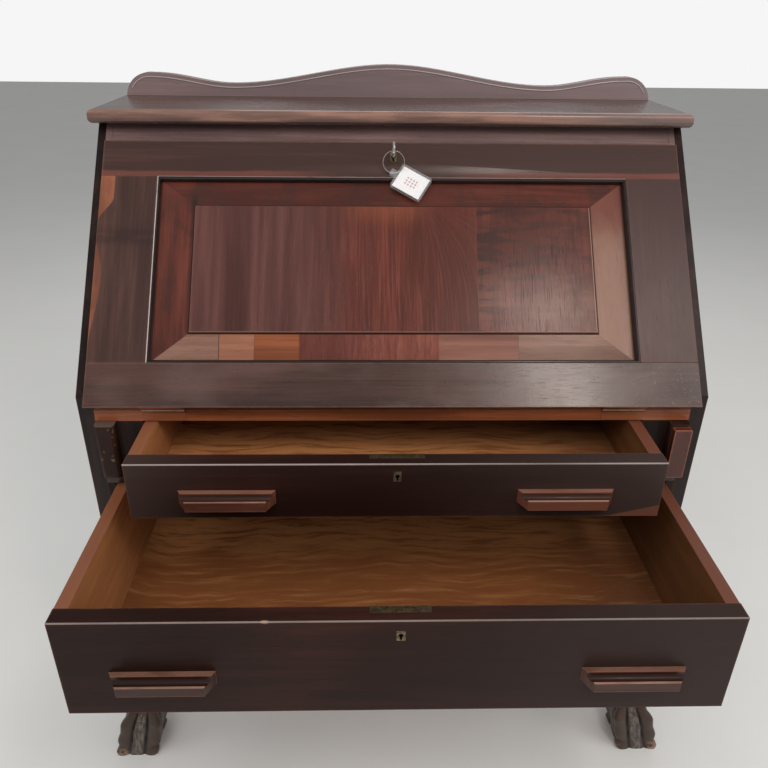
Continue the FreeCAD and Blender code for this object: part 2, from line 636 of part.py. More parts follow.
def hinges():
    """Leaves, knuckles and pins of the two butt hinges."""
    desk_leaves = []
    fall_leaves = []
    pins = []
    for side, sign in SIDES:
        start = mirrored_x(sign, "hinge_reach - hinge_length / 2", "hinge_length")
        middle = f"{start} + knuckle_end + knuckle_gap"
        last = f"{middle} + knuckle_length + knuckle_gap"
        axis = ("axis_y", "desk_top")
        bare = "knuckle_radius + knuckle_clear"
        leaf = board(f"desk_leaf_{side}", ("hinge_length", "leaf_thick", "leaf_width"),
                     (start, "axis_y + leaf_gap / 2", "desk_top - leaf_width"))
        notch = board(f"desk_notch_{side}", ("knuckle_length + 2 * knuckle_gap", "leaf_thick", bare),
                      (f"{middle} - knuckle_gap", "axis_y + leaf_gap / 2", f"desk_top - ({bare})"))
        first_knuckle = rod_across(f"desk_knuckle_a_{side}", "knuckle_radius", "knuckle_end", (start, *axis))
        last_knuckle = rod_across(f"desk_knuckle_b_{side}", "knuckle_radius", "knuckle_end", (last, *axis))
        bore = rod_across(f"hinge_bore_{side}", "pin_radius + pin_clear", "hinge_length", (start, *axis))
        notched = cut(f"desk_leaf_cut_{side}", leaf, [notch])
        solid = joined(f"desk_leaf_solid_{side}", [notched, first_knuckle, last_knuckle])
        desk_leaves.append(cut(f"desk_hinge_{side}", solid, [bore]))

        leaf = board(f"fall_leaf_{side}", ("hinge_length", "leaf_width", "leaf_thick"),
                     (start, "-leaf_width", "leaf_gap / 2"), True)
        ends = []
        for number, x in ((1, start), (2, f"{last} - knuckle_gap")):
            ends.append(board(f"fall_notch_{number}_{side}",
                              ("knuckle_end + knuckle_gap", bare, "leaf_thick"),
                              (x, f"-({bare})", "leaf_gap / 2"), True))
        knuckle = rod_across(f"fall_knuckle_{side}", "knuckle_radius", "knuckle_length", (middle, *axis))
        solid = joined(f"fall_leaf_solid_{side}", [cut(f"fall_leaf_cut_{side}", leaf, ends), knuckle])
        bore = rod_across(f"fall_bore_{side}", "pin_radius + pin_clear", "hinge_length", (start, *axis))
        fall_leaves.append(cut(f"fall_hinge_{side}", solid, [bore]))
        pins.append(rod_across(f"hinge_pin_{side}", "pin_radius", "hinge_length", (start, *axis)))
    node(grouped("desk_hinge_leaves", desk_leaves))
    node(grouped("fall_hinge_leaves", fall_leaves))
    node(grouped("hinge_pins", pins))


def fall_placement():
    """The closed fall's frame: origin on the hinge axis, Z up the slope, -Y outwards."""
    return FreeCAD.Placement(FreeCAD.Vector(0, dim("axis_y"), dim("desk_top")),
                             FreeCAD.Rotation(FreeCAD.Vector(-1, 0, 0), dim("slope")))


def hoop(radius, wire):
    """A flat ring of many-sided wire."""
    turns = [2 * math.pi * (number + 0.5) / RING_FACETS for number in range(RING_FACETS)]
    section = [FreeCAD.Vector(radius + wire * math.cos(turn), 0, wire * math.sin(turn)) for turn in turns]
    return Part.Face(Part.makePolygon(section + section[:1])).revolve(FreeCAD.Vector(), UPRIGHT, 360)


def key_and_fob():
    """The key in the fall's lock, the split ring through its bow, and the clear fob with its card."""
    across = FreeCAD.Vector(1, 0, 0)
    outwards = FreeCAD.Vector(0, -1, 0)
    level = dim("keyhole_up")
    face = -dim("fall_thick")
    bow_y = face - dim("key_shank") - dim("bow_radius")
    shank_start = -dim("key_inside") - dim("bit_clear")
    shank_length = shank_start - bow_y - dim("bow_hole") - dim("key_radius") / 2
    start = FreeCAD.Vector(0, shank_start, level)
    shank = Part.makeCylinder(dim("key_radius"), shank_length, start, outwards)
    bit_sizes = FreeCAD.Vector(dim("bit_thick"), dim("bit_length"), dim("bit_reach"))
    bit_start = FreeCAD.Vector(bit_sizes.x / 2, dim("bit_clear") + bit_sizes.y, bit_sizes.z)
    bit = Part.makeBox(*bit_sizes, start - bit_start)
    bow_start = FreeCAD.Vector(-dim("bow_thick") / 2, bow_y, level)
    bow = Part.makeCylinder(dim("bow_radius"), dim("bow_thick"), bow_start, across)
    hole = Part.makeCylinder(dim("bow_hole"), dim("bow_thick"), bow_start, across)
    key = shank.fuse([bit, bow]).cut(hole).removeSplitter()
    node(free_form("key", key, fall_placement()))

    # The ring hangs from the bow and leans in until the fob lies on the face of the fall.
    radius = dim("ring_radius")
    head = FreeCAD.Vector(0, bow_y, level - dim("ring_drop"))
    fob_y = face - dim("fob_gap") - dim("fob_thick") / 2
    reach_in = fob_y - bow_y
    foot = head + FreeCAD.Vector(0, reach_in, -math.sqrt((2 * radius) ** 2 - reach_in ** 2))
    centre = (head + foot) * 0.5
    normal = across.cross(foot - head)
    wire = dim("ring_wire")
    hang = FreeCAD.Placement(centre, FreeCAD.Rotation(UPRIGHT, normal))
    node(free_form("key_ring", hoop(radius, wire), fall_placement().multiply(hang)))

    # The fob is made lying along X from the ring's lowest point, then turned about the fall's normal.
    thick = dim("fob_thick")
    width = dim("fob_width")
    tab = dim("fob_tab")
    start = tab / 2
    plate = Part.makeBox(dim("fob_length"), thick, width, FreeCAD.Vector(start, -thick / 2, -width / 2))
    corners = [edge for edge in plate.Edges if abs(edge.Length - thick) < 0.01]
    plate = plate.makeFillet(dim("fob_round"), corners)
    neck = Part.makeBox(tab + 1, thick, tab, FreeCAD.Vector(-tab / 2, -thick / 2, -tab / 2))
    slot = [dim("card_length") + 2 * dim("card_clear"), dim("card_thick") + 2 * dim("card_clear"),
            dim("card_width") + 2 * dim("card_clear")]
    card = [dim("card_length"), dim("card_thick"), dim("card_width")]
    middle = start + dim("fob_length") / 2

    def centred(sizes):
        low = FreeCAD.Vector(middle - sizes[0] / 2, -sizes[1] / 2, -sizes[2] / 2)
        return Part.makeBox(*sizes, low)

    turn = FreeCAD.Placement(foot, FreeCAD.Rotation(FreeCAD.Vector(0, 1, 0), dim("fob_turn")))
    blank = plate.fuse(neck).cut(centred(slot)).removeSplitter()
    blank.Placement = turn
    tunnel = hoop(radius, wire + dim("ring_clear"))
    tunnel.Placement = hang
    node(free_form("key_fob", blank.cut(tunnel), fall_placement()))
    node(free_form("fob_card", centred(card), fall_placement().multiply(turn)))


def pull(label, middle, face, top):
    """A bar pull: a ridge along the drawer, a hollow, a lower lip in front, and slanting ends."""
    start = f"{middle} - pull_length / 2"
    foot = f"{top} - pull_height"
    blank = board(label + "_blank", ("pull_length", "pull_proud", "pull_height"),
                  (start, f"{face} - pull_proud", foot))
    cove = rod_across(label + "_cove", "cove_radius", "pull_length",
                      (start, f"{face} - cove_out", f"{top} - cove_down"))
    above_cove = board(label + "_above_cove", ("pull_length", "cove_radius", "cove_down"),
                       (start, f"{face} - cove_out", f"{top} - cove_down"))
    above_lip = board(label + "_above_lip", ("pull_length", "pull_proud - cove_out", "pull_lip_drop"),
                      (start, f"{face} - pull_proud", f"{top} - pull_lip_drop"))
    plan = [("-pull_length / 2", "0"), ("-pull_length / 2 + pull_taper", "-pull_proud"),
            ("pull_length / 2 - pull_taper", "-pull_proud"), ("pull_length / 2", "0")]
    outline = prism(label + "_plan", "XY_Plane", plan, "pull_height", (middle, face, foot))
    part = doc.addObject("Part::Common", label)
    part.Base = cut(label + "_coved", blank, [cove, above_cove, above_lip])
    part.Tool = outline
    return part


def drawer(name, floor):
    """A drawer with its pulls, lock, bolt and keyhole plate, as far out as it stands."""
    width = name + "_front_width"
    height = name + "_front_height"
    face = f"(front_y - {name}_out)"
    behind = f"({face} + front_thick)"
    low = f"({floor} + drawer_gap)"
    high = f"({low} + {height})"
    tail = f"({face} + drawer_length)"
    run = f"({floor} + run_gap)"
    half = f"({width} / 2 - side_inset)"
    bottom = f"({run} + bottom_rise)"
    clear = f"({half} - drawer_side_thick)"
    keyhole = f"({high} - {name}_keyhole_drop)"
    label = name + "_drawer_"

    blank = board(label + "front_blank", (width, "front_thick", height), (f"-{width} / 2", face, low))
    lock_corner = ("-lock_width / 2", f"{behind} - lock_depth", f"{high} - lock_height")
    pocket = board(label + "pocket", LOCK, lock_corner)
    bottom_width = f"2 * ({clear} + groove_depth)"
    groove = board(label + "front_groove", (bottom_width, "groove_depth", "drawer_bottom_thick"),
                   (f"-({clear} + groove_depth)", f"{behind} - groove_depth", bottom))
    plate_corner = ("-plate_width / 2", f"{face} - plate_proud", f"{keyhole} - plate_height / 2")
    plate_bed = board(label + "plate_bed", ("plate_width", "plate_thick", "plate_height"), plate_corner)
    hole = keyhole_tools(label + "keyhole", keyhole, face, "front_thick - lock_depth")
    node(cut(label + "front", blank, [pocket, groove, plate_bed] + hole))

    length = f"{tail} - {behind}"
    for side, sign in SIDES:
        blank = board(f"{label}side_{side}_blank", ("drawer_side_thick", length, f"{high} - {run}"),
                      (mirrored_x(sign, clear, "drawer_side_thick"), behind, run))
        groove = board(f"{label}side_{side}_groove", ("groove_depth", length, "drawer_bottom_thick"),
                       (mirrored_x(sign, clear, "groove_depth"), behind, bottom))
        node(cut(f"{label}side_{side}", blank, [groove]))
    above = f"{bottom} + drawer_bottom_thick"
    node(board(label + "back", (f"2 * {clear}", "drawer_back_thick", f"{high} - back_drop - ({above})"),
               (f"-{clear}", f"{tail} - drawer_back_thick", above)))
    node(board(label + "bottom", (bottom_width, f"{length} + groove_depth", "drawer_bottom_thick"),
               (f"-({clear} + groove_depth)", f"{behind} - groove_depth", bottom)))

    top = f"({high} - {name}_pull_drop)"
    pulls = []
    for side, sign in SIDES:
        middle = f"{sign} * {name}_pull_reach"
        pulls.append(pull(f"{label}pull_{side}", middle, face, top))
    node(grouped(label + "pulls", pulls))

    blank = board(label + "lock_blank", LOCK, lock_corner)
    slot = board(label + "lock_slot", BOLT_SLOT,
                 ("-bolt_width / 2 - bolt_clear", f"{behind} - bolt_back - bolt_clear",
                  f"{high} - bolt_height - 2 * bolt_clear"))
    node(cut(label + "lock", blank, [slot]))
    node(board(label + "bolt", ("bolt_width", "bolt_thick", "bolt_height"),
               ("-bolt_width / 2", f"{behind} - bolt_back", f"{high} - bolt_height - bolt_clear")))
    blank = board(label + "plate_blank", ("plate_width", "plate_thick", "plate_height"), plate_corner)
    tools = keyhole_tools(label + "plate_hole", keyhole, face, "plate_thick")
    node(cut(label + "keyhole_plate", blank, tools))


def lopers():
    """The slides beside the top drawer, and the facing that the right one still has."""
    height = "desk_under - loper_headroom - top_floor - run_gap"
    for side, sign in SIDES:
        start = mirrored_x(sign, "stile_outer + loper_clear", "loper_width")
        bar = board(f"loper_{side}_blank", ("loper_width", "loper_length", height),
                    (start, "front_y - loper_proud", "top_floor + run_gap"))
        doc.recompute()
        box = bar.Shape.BoundBox
        middle_z = (box.ZMin + box.ZMax) / 2
        radius = min(dim("loper_round"), 0.45 * dim("loper_width"))
        node(rounded("loper_" + side, bar, radius,
                     lambda point: abs(point.z - middle_z) < 1 and point.y < box.YMin + 1))
    middle = "stile_outer + loper_clear + loper_width / 2"
    top = "desk_under - loper_headroom - facing_drop"
    corner = (f"{middle} - facing_width / 2", "front_y - loper_proud - facing_thick",
              f"{top} - facing_height")
    node(board("loper_facing", ("facing_width", "facing_thick", "facing_height"), corner))


def rounded_square(half, corner, centre):
    """A square outline with round corners, level, about a centre."""
    edges = []
    flat = half - corner
    bend = corner * math.sqrt(0.5)
    for quarter in range(4):
        turn = FreeCAD.Rotation(UPRIGHT, 90 * quarter)
        points = [(half, -flat), (half, flat), (flat + bend, flat + bend), (flat, half)]
        spots = [centre + turn.multVec(FreeCAD.Vector(x, y, 0)) for x, y in points]
        edges.append(Part.makeLine(spots[0], spots[1]))
        edges.append(Part.Arc(spots[1], spots[2], spots[3]).toShape())
    return Part.Wire(edges)


def leg_outline(half, squareness, claw, out, level):
    """A level outline of the leg: a soft square, with a claw standing up at each corner."""
    centre = OUTWARDS * out + UPRIGHT * level
    spots = []
    for number in range(LEG_FACETS):
        turn = 2 * math.pi * number / LEG_FACETS
        power = abs(math.cos(turn)) ** squareness + abs(math.sin(turn)) ** squareness
        from_corner = turn % (math.pi / 2) - math.pi / 4
        crest = math.exp(-(from_corner / CLAW_SPREAD) ** 2)
        wide = half / power ** (1 / squareness) + claw * crest - claw * CLAW_GROOVE * (1 - crest)
        spots.append(centre + FreeCAD.Vector(math.cos(turn), math.sin(turn), 0) * wide)
    return spots


def faceted_solid(outlines):
    """A solid with flat three-cornered facets from outline to outline, and a flat cap at each end."""
    faces = []
    for outline in (outlines[0], outlines[-1]):
        faces.append(Part.Face(Part.makePolygon(outline + outline[:1])))
    for lower, upper in zip(outlines, outlines[1:]):
        for number in range(len(lower)):
            after = (number + 1) % len(lower)
            for corners in ((lower[number], lower[after], upper[number]),
                            (lower[after], upper[after], upper[number])):
                faces.append(Part.Face(Part.makePolygon([*corners, corners[0]])))
    return Part.Solid(Part.Shell(faces))


def leg_shape():
    """A cabriole leg that faces +X and +Y: block, knee, ankle, and a foot with four claws."""
    half = dim("post_size") / 2
    block_foot = dim("leg_height") - dim("post_height")
    height = dim("foot_height")
    # Share of the foot's height, of its half width and of a claw's height, from the floor to the ankle.
    foot = [(0.0, 1.0, 0.75), (0.1, 1.02, 0.9), (0.2, 0.97, 0.5), (0.36, 1.0, 1.0), (0.54, 1.0, 0.55),
            (0.74, 0.93, 1.1), (0.9, 0.7, 0.7), (1.08, 0.52, 0.3)]
    outlines = []
    for rise, wide, claw in foot:
        level = rise * height
        out = dim("foot_out") - dim("foot_lean") * level
        half_width = wide * dim("foot_half")
        outlines.append(leg_outline(half_width, FOOT_SQUARENESS, claw * dim("claw_height"), out, level))
    knee = dim("knee_half")
    ankle = dim("ankle_half")
    # Share of the way from the foot to the block, half width and distance outwards.
    shaft = [(0.2, ankle, dim("ankle_out")), (0.42, 0.4 * (knee + ankle), 0.75 * dim("ankle_out")),
             (0.68, 0.84 * knee, 0.9 * dim("knee_out")), (0.87, knee, dim("knee_out")), (1.03, 0.9 * half, 0)]
    for rise, wide, out in shaft:
        level = height + rise * (block_foot - height)
        outlines.append(leg_outline(wide, SHAFT_SQUARENESS, 0, out, level))
    block_outline = rounded_square(half, dim("post_round"), UPRIGHT * block_foot)
    block = Part.Face(block_outline).extrude(UPRIGHT * dim("post_height"))
    return faceted_solid(outlines).fuse(block)


def legs():
    """Four legs: each the same carving turned to its own corner."""
    shape = leg_shape()
    half = dim("post_size") / 2
    reach = dim("foot_out") * OUTWARDS.x + CLAW_REACH * dim("foot_half")
    across = dim("case_width") / 2 - half
    front = dim("front_y") + half
    back = dim("back_y") - reach
    corners = (("back_right", across, back, 0), ("back_left", -across, back, 90),
               ("front_left", -across, front, 180), ("front_right", across, front, 270))
    for name, x, y, turn in corners:
        spot = FreeCAD.Placement(FreeCAD.Vector(x, y, 0), FreeCAD.Rotation(UPRIGHT, turn))
        node(free_form("leg_" + name, shape, spot))


case()
gallery()
pigeonholes()
fall()
fall_lock()
hinges()
key_and_fob()
drawer("top", "top_floor")
drawer("lower", "lower_floor")
lopers()
legs()
doc.recompute()

for item in doc.Objects:
    if "Invalid" in item.State or "Error" in item.State:
        raise RuntimeError("failed object: " + item.Label)
for part in nodes:
    if part.Shape.isNull() or not part.Shape.isValid():
        raise RuntimeError("bad shape: " + part.Label)

os.makedirs("parts", exist_ok=True)
for part in nodes:
    part.Shape.exportStep(f"parts/{part.Label}.step")
print(len(nodes), "nodes,", sum(len(part.Shape.Solids) for part in nodes), "solids")
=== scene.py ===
# %% [markdown]
# # A fall-front writing bureau
# The bureau is a case of dark polished boards on carved legs. Its sloping front, the fall, is hinged
# at the bottom and drops on two slides to make a writing table. The solids of every board come from the
# CAD frame; this lesson rounds their edges, adds the small pieces that a cabinet maker adds last, and
# gives each surface its own finish.

import json
import math

import bmesh
import bpy
from mathutils import Matrix, Vector


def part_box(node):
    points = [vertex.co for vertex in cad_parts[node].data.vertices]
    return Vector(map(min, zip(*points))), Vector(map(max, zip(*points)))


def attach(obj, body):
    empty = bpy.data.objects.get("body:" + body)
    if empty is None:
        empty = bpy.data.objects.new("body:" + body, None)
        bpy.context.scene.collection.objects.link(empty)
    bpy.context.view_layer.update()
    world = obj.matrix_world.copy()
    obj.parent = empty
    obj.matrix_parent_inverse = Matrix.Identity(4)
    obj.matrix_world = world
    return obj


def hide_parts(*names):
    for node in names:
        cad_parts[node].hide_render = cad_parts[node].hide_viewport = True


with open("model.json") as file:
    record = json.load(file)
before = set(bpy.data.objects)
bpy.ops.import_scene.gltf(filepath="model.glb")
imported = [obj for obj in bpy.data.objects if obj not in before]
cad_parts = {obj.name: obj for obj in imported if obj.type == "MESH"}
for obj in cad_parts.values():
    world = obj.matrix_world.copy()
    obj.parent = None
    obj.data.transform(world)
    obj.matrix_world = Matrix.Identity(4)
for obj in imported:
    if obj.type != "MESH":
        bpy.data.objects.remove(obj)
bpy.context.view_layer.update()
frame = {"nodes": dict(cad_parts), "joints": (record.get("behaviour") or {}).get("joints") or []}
nodes = frame["nodes"]

# %% [markdown]
# ## The leaning frame of the fall
# Everything on the fall is easiest to make lying flat: X across, Y into the desk and Z up the slope from
# the hinge axis. The hinge joint of the frame gives the axis, and the fall stands level when it has
# turned by its whole range, so the slope is that range less a quarter turn.

# %% Where the fall lies
MM = 0.001
X, Y, Z = 0, 1, 2
hinge = next(joint for joint in frame["joints"] if joint["name"] == "fall_hinge")
SLOPE = math.radians(hinge["range_deg"][1] - 90)
FALL_AXIS = Vector(hinge["pos_m"])
FALL = Matrix.Translation(FALL_AXIS) @ Matrix.Rotation(-SLOPE, 4, "X")


def box_of(points):
    """The lowest and highest corners of some points."""
    low = Vector([min(point[axis] for point in points) for axis in (X, Y, Z)])
    high = Vector([max(point[axis] for point in points) for axis in (X, Y, Z)])
    return low, high


def flat_points(node):
    """A fall node's points in the leaning frame."""
    back = FALL.inverted()
    return [back @ vertex.co for vertex in nodes[node].data.vertices]


def flat_box(node):
    """A fall node's box in the leaning frame."""
    return box_of(flat_points(node))


def half_box(node):
    """The box of a paired node's right-hand piece."""
    return box_of([vertex.co for vertex in nodes[node].data.vertices if vertex.co.x > 0])


print("slope", round(math.degrees(SLOPE), 2), "axis", [round(value, 4) for value in FALL_AXIS])

# %% [markdown]
# ## Writing shaders as sums
# A wood finish is mostly arithmetic on noise: stretch it along the grain, threshold it into pores, mix
# colours by it. A small class lets a socket take part in Python sums, so a finish reads like a recipe
# instead of a page of links. Constants that hold for a whole surface go straight on the shader's sockets.

# %% A socket that takes part in sums
class Tone:
    """A shader socket that takes part in sums."""

    def __init__(self, recipe, socket):
        self.recipe = recipe
        self.socket = socket

    def __add__(self, other):
        return self.recipe.sum("ADD", self, other)

    def __sub__(self, other):
        return self.recipe.sum("SUBTRACT", self, other)

    def __rsub__(self, other):
        return self.recipe.sum("SUBTRACT", other, self)

    def __mul__(self, other):
        return self.recipe.sum("MULTIPLY", self, other)

    __radd__ = __add__
    __rmul__ = __mul__

    def least(self, other):
        return self.recipe.sum("MINIMUM", self, other)

    def most(self, other):
        return self.recipe.sum("MAXIMUM", self, other)

    def size(self):
        return self.recipe.sum("ABSOLUTE", self)

    def root(self):
        return self.recipe.sum("SQRT", self)

    def step(self, low, high):
        """A soft rise from 0 at the low value to 1 at the high one."""
        sockets = {"Value": self, "From Min": low, "From Max": high}
        return self.recipe.node("MapRange", sockets, interpolation_type="SMOOTHSTEP")

    def fade(self, low, high):
        """A soft drop from 1 at the low value to 0 at the high one."""
        return 1 - self.step(low, high)

    def mix(self, share, other):
        """This colour with a share of another laid over it."""
        return self.recipe.mix(share, self, other)


print("sums of sockets ready")

# %% A recipe for one surface
class Recipe:
    """The nodes of one surface, in the axes of a board, or of the world's light."""

    def __init__(self, name, location=(0, 0, 0), rotation=(0, 0, 0), world=False):
        self.result = (bpy.data.worlds if world else bpy.data.materials).new(name)
        self.result.use_nodes = True
        self.tree = self.result.node_tree
        self.shader = self.tree.nodes["Background" if world else "Principled BSDF"]
        spot = self.node("TexCoord", output="Object")
        sockets = {"Vector": spot, "Location": location, "Rotation": rotation}
        self.local = self.node("Mapping", sockets, vector_type="TEXTURE")
        axes = [self.node("SeparateXYZ", {"Vector": self.local}, axis) for axis in (X, Y, Z)]
        self.x, self.y, self.z = axes

    def feed(self, socket, value):
        if isinstance(value, Tone):
            self.tree.links.new(value.socket, socket)
        else:
            socket.default_value = value

    def node(self, kind, sockets=(), output=0, **settings):
        made = self.tree.nodes.new("ShaderNode" + kind)
        for key, value in settings.items():
            setattr(made, key, value)
        for key, value in dict(sockets).items():
            self.feed(made.inputs[key], value)
        return Tone(self, made.outputs[output])

    def sum(self, operation, *values):
        return self.node("Math", dict(enumerate(values)), operation=operation)

    def mix(self, share, first, second):
        first, second = [value if isinstance(value, Tone) else (*value, 1) for value in (first, second)]
        return self.node("Mix", {0: share, 6: first, 7: second}, 2, data_type="RGBA")

    def ramp(self, value, places, colours):
        made = self.node("ValToRGB", {"Fac": value})
        stops = made.socket.node.color_ramp.elements
        while len(stops) < len(colours):
            stops.new(1.0)
        for stop, place, colour in zip(stops, places, colours):
            stop.position = place
            stop.color = (*colour, 1)
        return made

    def noise(self, scale, detail=4.0, roughness=0.6, distortion=0.0, vector=None):
        return self.node("TexNoise", {"Vector": vector or self.local, "Scale": scale, "Detail": detail,
                                      "Roughness": roughness, "Distortion": distortion})

    def streaks(self, stretch, detail=4.0, roughness=0.6, distortion=0.0, shift=(0, 0, 0), scale=1.0):
        """Noise drawn out by a scale for each axis."""
        vector = self.node("Mapping", {"Vector": self.local, "Scale": stretch, "Location": shift})
        return self.noise(scale, detail, roughness, distortion, vector)

    def bump(self, height, strength, distance):
        sockets = {"Height": height, "Strength": strength, "Distance": distance}
        self.set(normal=self.node("Bump", sockets))

    def set(self, **values):
        """Feeds the shader's sockets, named in small letters."""
        for name, value in values.items():
            socket = name.replace("_", " ").title().replace("Ior", "IOR")
            self.feed(self.shader.inputs[socket], value)


print("recipe class ready")

# %% [markdown]
# ## Polished mahogany
# The real boards are stained mahogany under an old French polish: bands of darker and redder wood along
# the grain, short dark pores, a smoky unevenness a hand wide, and rubbed edges where the polish has gone
# to a warm brown. The distance to the nearest edge of a board is the middle one of its three distances to
# the faces of its box, which gives the rubbed arrises without any painting.

# %% Colours of the woods, each from its darkest to its palest grain
DARK = ((0.009, 0.0051, 0.0045), (0.018, 0.009, 0.0075), (0.033, 0.015, 0.0112), (0.063, 0.027, 0.018))
STAINED = ((0.0171, 0.0061, 0.0043), (0.0342, 0.0108, 0.0072), (0.0627, 0.018, 0.0107),
           (0.12, 0.0324, 0.0175))
BROWN = ((0.0448, 0.0192, 0.0152), (0.08, 0.0344, 0.0256), (0.12, 0.0512, 0.0376), (0.176, 0.0752, 0.0544))
RED = ((0.0686, 0.016, 0.0101), (0.125, 0.0286, 0.0174), (0.181, 0.0426, 0.0264), (0.25, 0.0632, 0.0405))
SMOKY = ((0.0472, 0.0179, 0.0152), (0.0737, 0.0278, 0.0233), (0.0992, 0.0386, 0.0323),
         (0.133, 0.0538, 0.0449))
BRICK = ((0.144, 0.0384, 0.0256), (0.216, 0.0624, 0.0432), (0.296, 0.0912, 0.0656), (0.384, 0.136, 0.0992))
ORANGE = ((0.176, 0.048, 0.0176), (0.28, 0.08, 0.0296), (0.384, 0.112, 0.0448), (0.496, 0.16, 0.0688))
PEACH = ((0.174, 0.0598, 0.0387), (0.243, 0.0936, 0.0637), (0.312, 0.131, 0.091), (0.387, 0.174, 0.125))
WARM = ((0.215, 0.085, 0.048), (0.3, 0.127, 0.074), (0.38, 0.17, 0.105), (0.48, 0.23, 0.148))
MAUVE = ((0.125, 0.0754, 0.071), (0.187, 0.112, 0.104), (0.253, 0.155, 0.144), (0.334, 0.213, 0.197))
TOFFEE = ((0.0832, 0.026, 0.0156), (0.146, 0.0468, 0.0281), (0.208, 0.0707, 0.0416), (0.302, 0.11, 0.0645))
# TAN serves as painted sheen and highlight on the right of the fall.
TAN = ((0.28, 0.16, 0.115), (0.36, 0.215, 0.158), (0.44, 0.275, 0.205), (0.54, 0.35, 0.27))
PALE = ((0.218, 0.106, 0.0716), (0.311, 0.16, 0.11), (0.395, 0.213, 0.151), (0.504, 0.289, 0.206))
FADED = ((0.128, 0.0768, 0.0672), (0.184, 0.115, 0.102), (0.24, 0.157, 0.144), (0.32, 0.216, 0.192))
HONEY = ((0.232, 0.0728, 0.0221), (0.394, 0.136, 0.0395), (0.546, 0.21, 0.0674), (0.742, 0.318, 0.116))
PLAIN = ((0.192, 0.0992, 0.048), (0.304, 0.168, 0.0848), (0.432, 0.248, 0.131), (0.576, 0.352, 0.2))
RUBBED = (0.34, 0.15, 0.08)


def dimmed(palette, share):
    """The same wood under darker polish."""
    return tuple(tuple(share * value for value in colour) for colour in palette)


print("darkest wood", DARK[0], "palest wood", HONEY[3])

# %% The wood finish
GRAIN_STOPS = (0.0, 0.3, 0.65, 1.0)
seeds = iter(range(1, 400))


def wood(name, palette, grain, box=None, leaning=False, both=False, gloss=0.34, coat=0.2, shine=0.4,
         rub=0.5, rub_width=0.0025, figure=0.85, relief=0.12, extra=None, details=()):
    """A board's finish: grain runs along one axis, box gives the rubbed edges, extra adds its own wear and
    painted light.
    """
    recipe = Recipe(name, FALL_AXIS, (-SLOPE, 0, 0)) if leaning else Recipe(name)
    seed = next(seeds)
    shift = (1.7 * seed, 3.1 * seed, 5.3 * seed)

    def along(across, length):
        return tuple(length if axis == grain else across for axis in (X, Y, Z))

    bands = recipe.streaks(along(16, 1.0), 5.0, 0.62, 0.9, shift, 2.2)
    smoke = recipe.streaks(along(4.5, 2.0), 3.0, 0.55, 0.4, shift)
    fibre = recipe.streaks(along(420, 9), 3.0, 0.6, 0.0, shift)
    pores = recipe.streaks(along(900, 38), 2.0, 0.5, 0.0, shift)
    tone = (bands * (0.75 * figure) + smoke * 0.55 + fibre * 0.22).step(0.42 + 0.18 * figure, 1.05)
    hole = pores.step(0.6, 0.72)
    colour = recipe.ramp(tone, GRAIN_STOPS, palette).mix(hole * 0.5, dimmed(palette, 0.4)[0])
    smear = recipe.noise(9.0)
    rough = gloss + (smear - 0.5) * 0.22 + hole * 0.12
    if both:
        recipe.signed_x = recipe.x
        recipe.x = recipe.x.size()
    if box:
        recipe.low, recipe.high = box
        worn = rubbed_edges(recipe, rub_width)
        bare = tuple(0.5 * (old + new) for old, new in zip(palette[3], RUBBED))
        colour = colour.mix(worn * rub, bare)
        rough = rough + worn * 0.12
    if extra:
        colour = extra(recipe, colour, *details)
    recipe.set(base_color=colour, roughness=rough, coat_weight=coat, coat_roughness=0.16, ior=1.5,
               specular_ior_level=shine)
    recipe.bump(fibre * 0.35 - hole + smear * 0.8, relief, 0.0006)
    return recipe.result


def rubbed_edges(recipe, width):
    """A ragged mask along the edges of a board's box."""
    places = zip((recipe.x, recipe.y, recipe.z), recipe.low, recipe.high)
    one, two, three = [(value - low).least(high - value) for value, low, high in places]
    edge = one.least(two).most(one.most(two).least(three))
    ragged = recipe.noise(60.0, 4.0, 0.65) * (1.6 * width)
    return (edge + ragged).fade(0.7 * width, 1.9 * width)


print("wood finish ready")

# %% [markdown]
# ## Metals, clear plastic and card
# The lock plates and hinges are brass gone brown, with brighter metal where fingers and keys rub. The key
# and ring are plain bright steel. The fob is a clear pressed block with a printed card inside.

# %% Metal finishes
def metal(name, bright, dull, rough):
    """Old metal: tarnish in clouds, fine scratches, pits in the bump."""
    recipe = Recipe(name)
    cloud = recipe.noise(140.0, 5.0, 0.65)
    scratch = recipe.streaks((300, 2500, 2500), 2.0, 0.5)
    dirt = (cloud + scratch * 0.25).step(0.42, 0.82)
    recipe.set(base_color=recipe.mix(dirt, bright, dull), roughness=rough + dirt * 0.25,
               metallic=1 - dirt * 0.35)
    recipe.bump(cloud + scratch * 0.4, 0.15, 0.0003)
    return recipe.result


BRASS = metal("tarnished_brass", (0.2, 0.14, 0.068), (0.05, 0.035, 0.021), 0.36)
PLATE_BRASS = metal("rubbed_plate_brass", (0.3, 0.23, 0.14), (0.08, 0.06, 0.037), 0.34)
IRON = metal("old_screw_iron", (0.2, 0.17, 0.13), (0.05, 0.038, 0.03), 0.45)
STEEL = metal("bright_steel", (0.72, 0.71, 0.68), (0.42, 0.4, 0.36), 0.2)
print("metals", BRASS.name, PLATE_BRASS.name, IRON.name, STEEL.name)

# %% Hinge leaves, stained with the desk edge and rubbed bright along the axis
recipe = Recipe("stained_hinge")
cloud = recipe.noise(140.0, 5.0, 0.65)
from_line = (recipe.z - FALL_AXIS.z - 0.001).size()
stain = (from_line + cloud * 0.0008).step(0.0005, 0.0014)
brown = recipe.mix(recipe.streaks((6, 90, 90)), ORANGE[0], ORANGE[2])
bright = recipe.mix(cloud, (0.62, 0.55, 0.42), (0.3, 0.24, 0.16))
recipe.set(base_color=bright.mix(stain, brown), roughness=0.3 + stain * 0.2 + cloud * 0.1,
           metallic=0.9 - stain * 0.9)
recipe.bump(cloud, 0.1, 0.0003)
HINGE = recipe.result
print("hinge finish", HINGE.name)

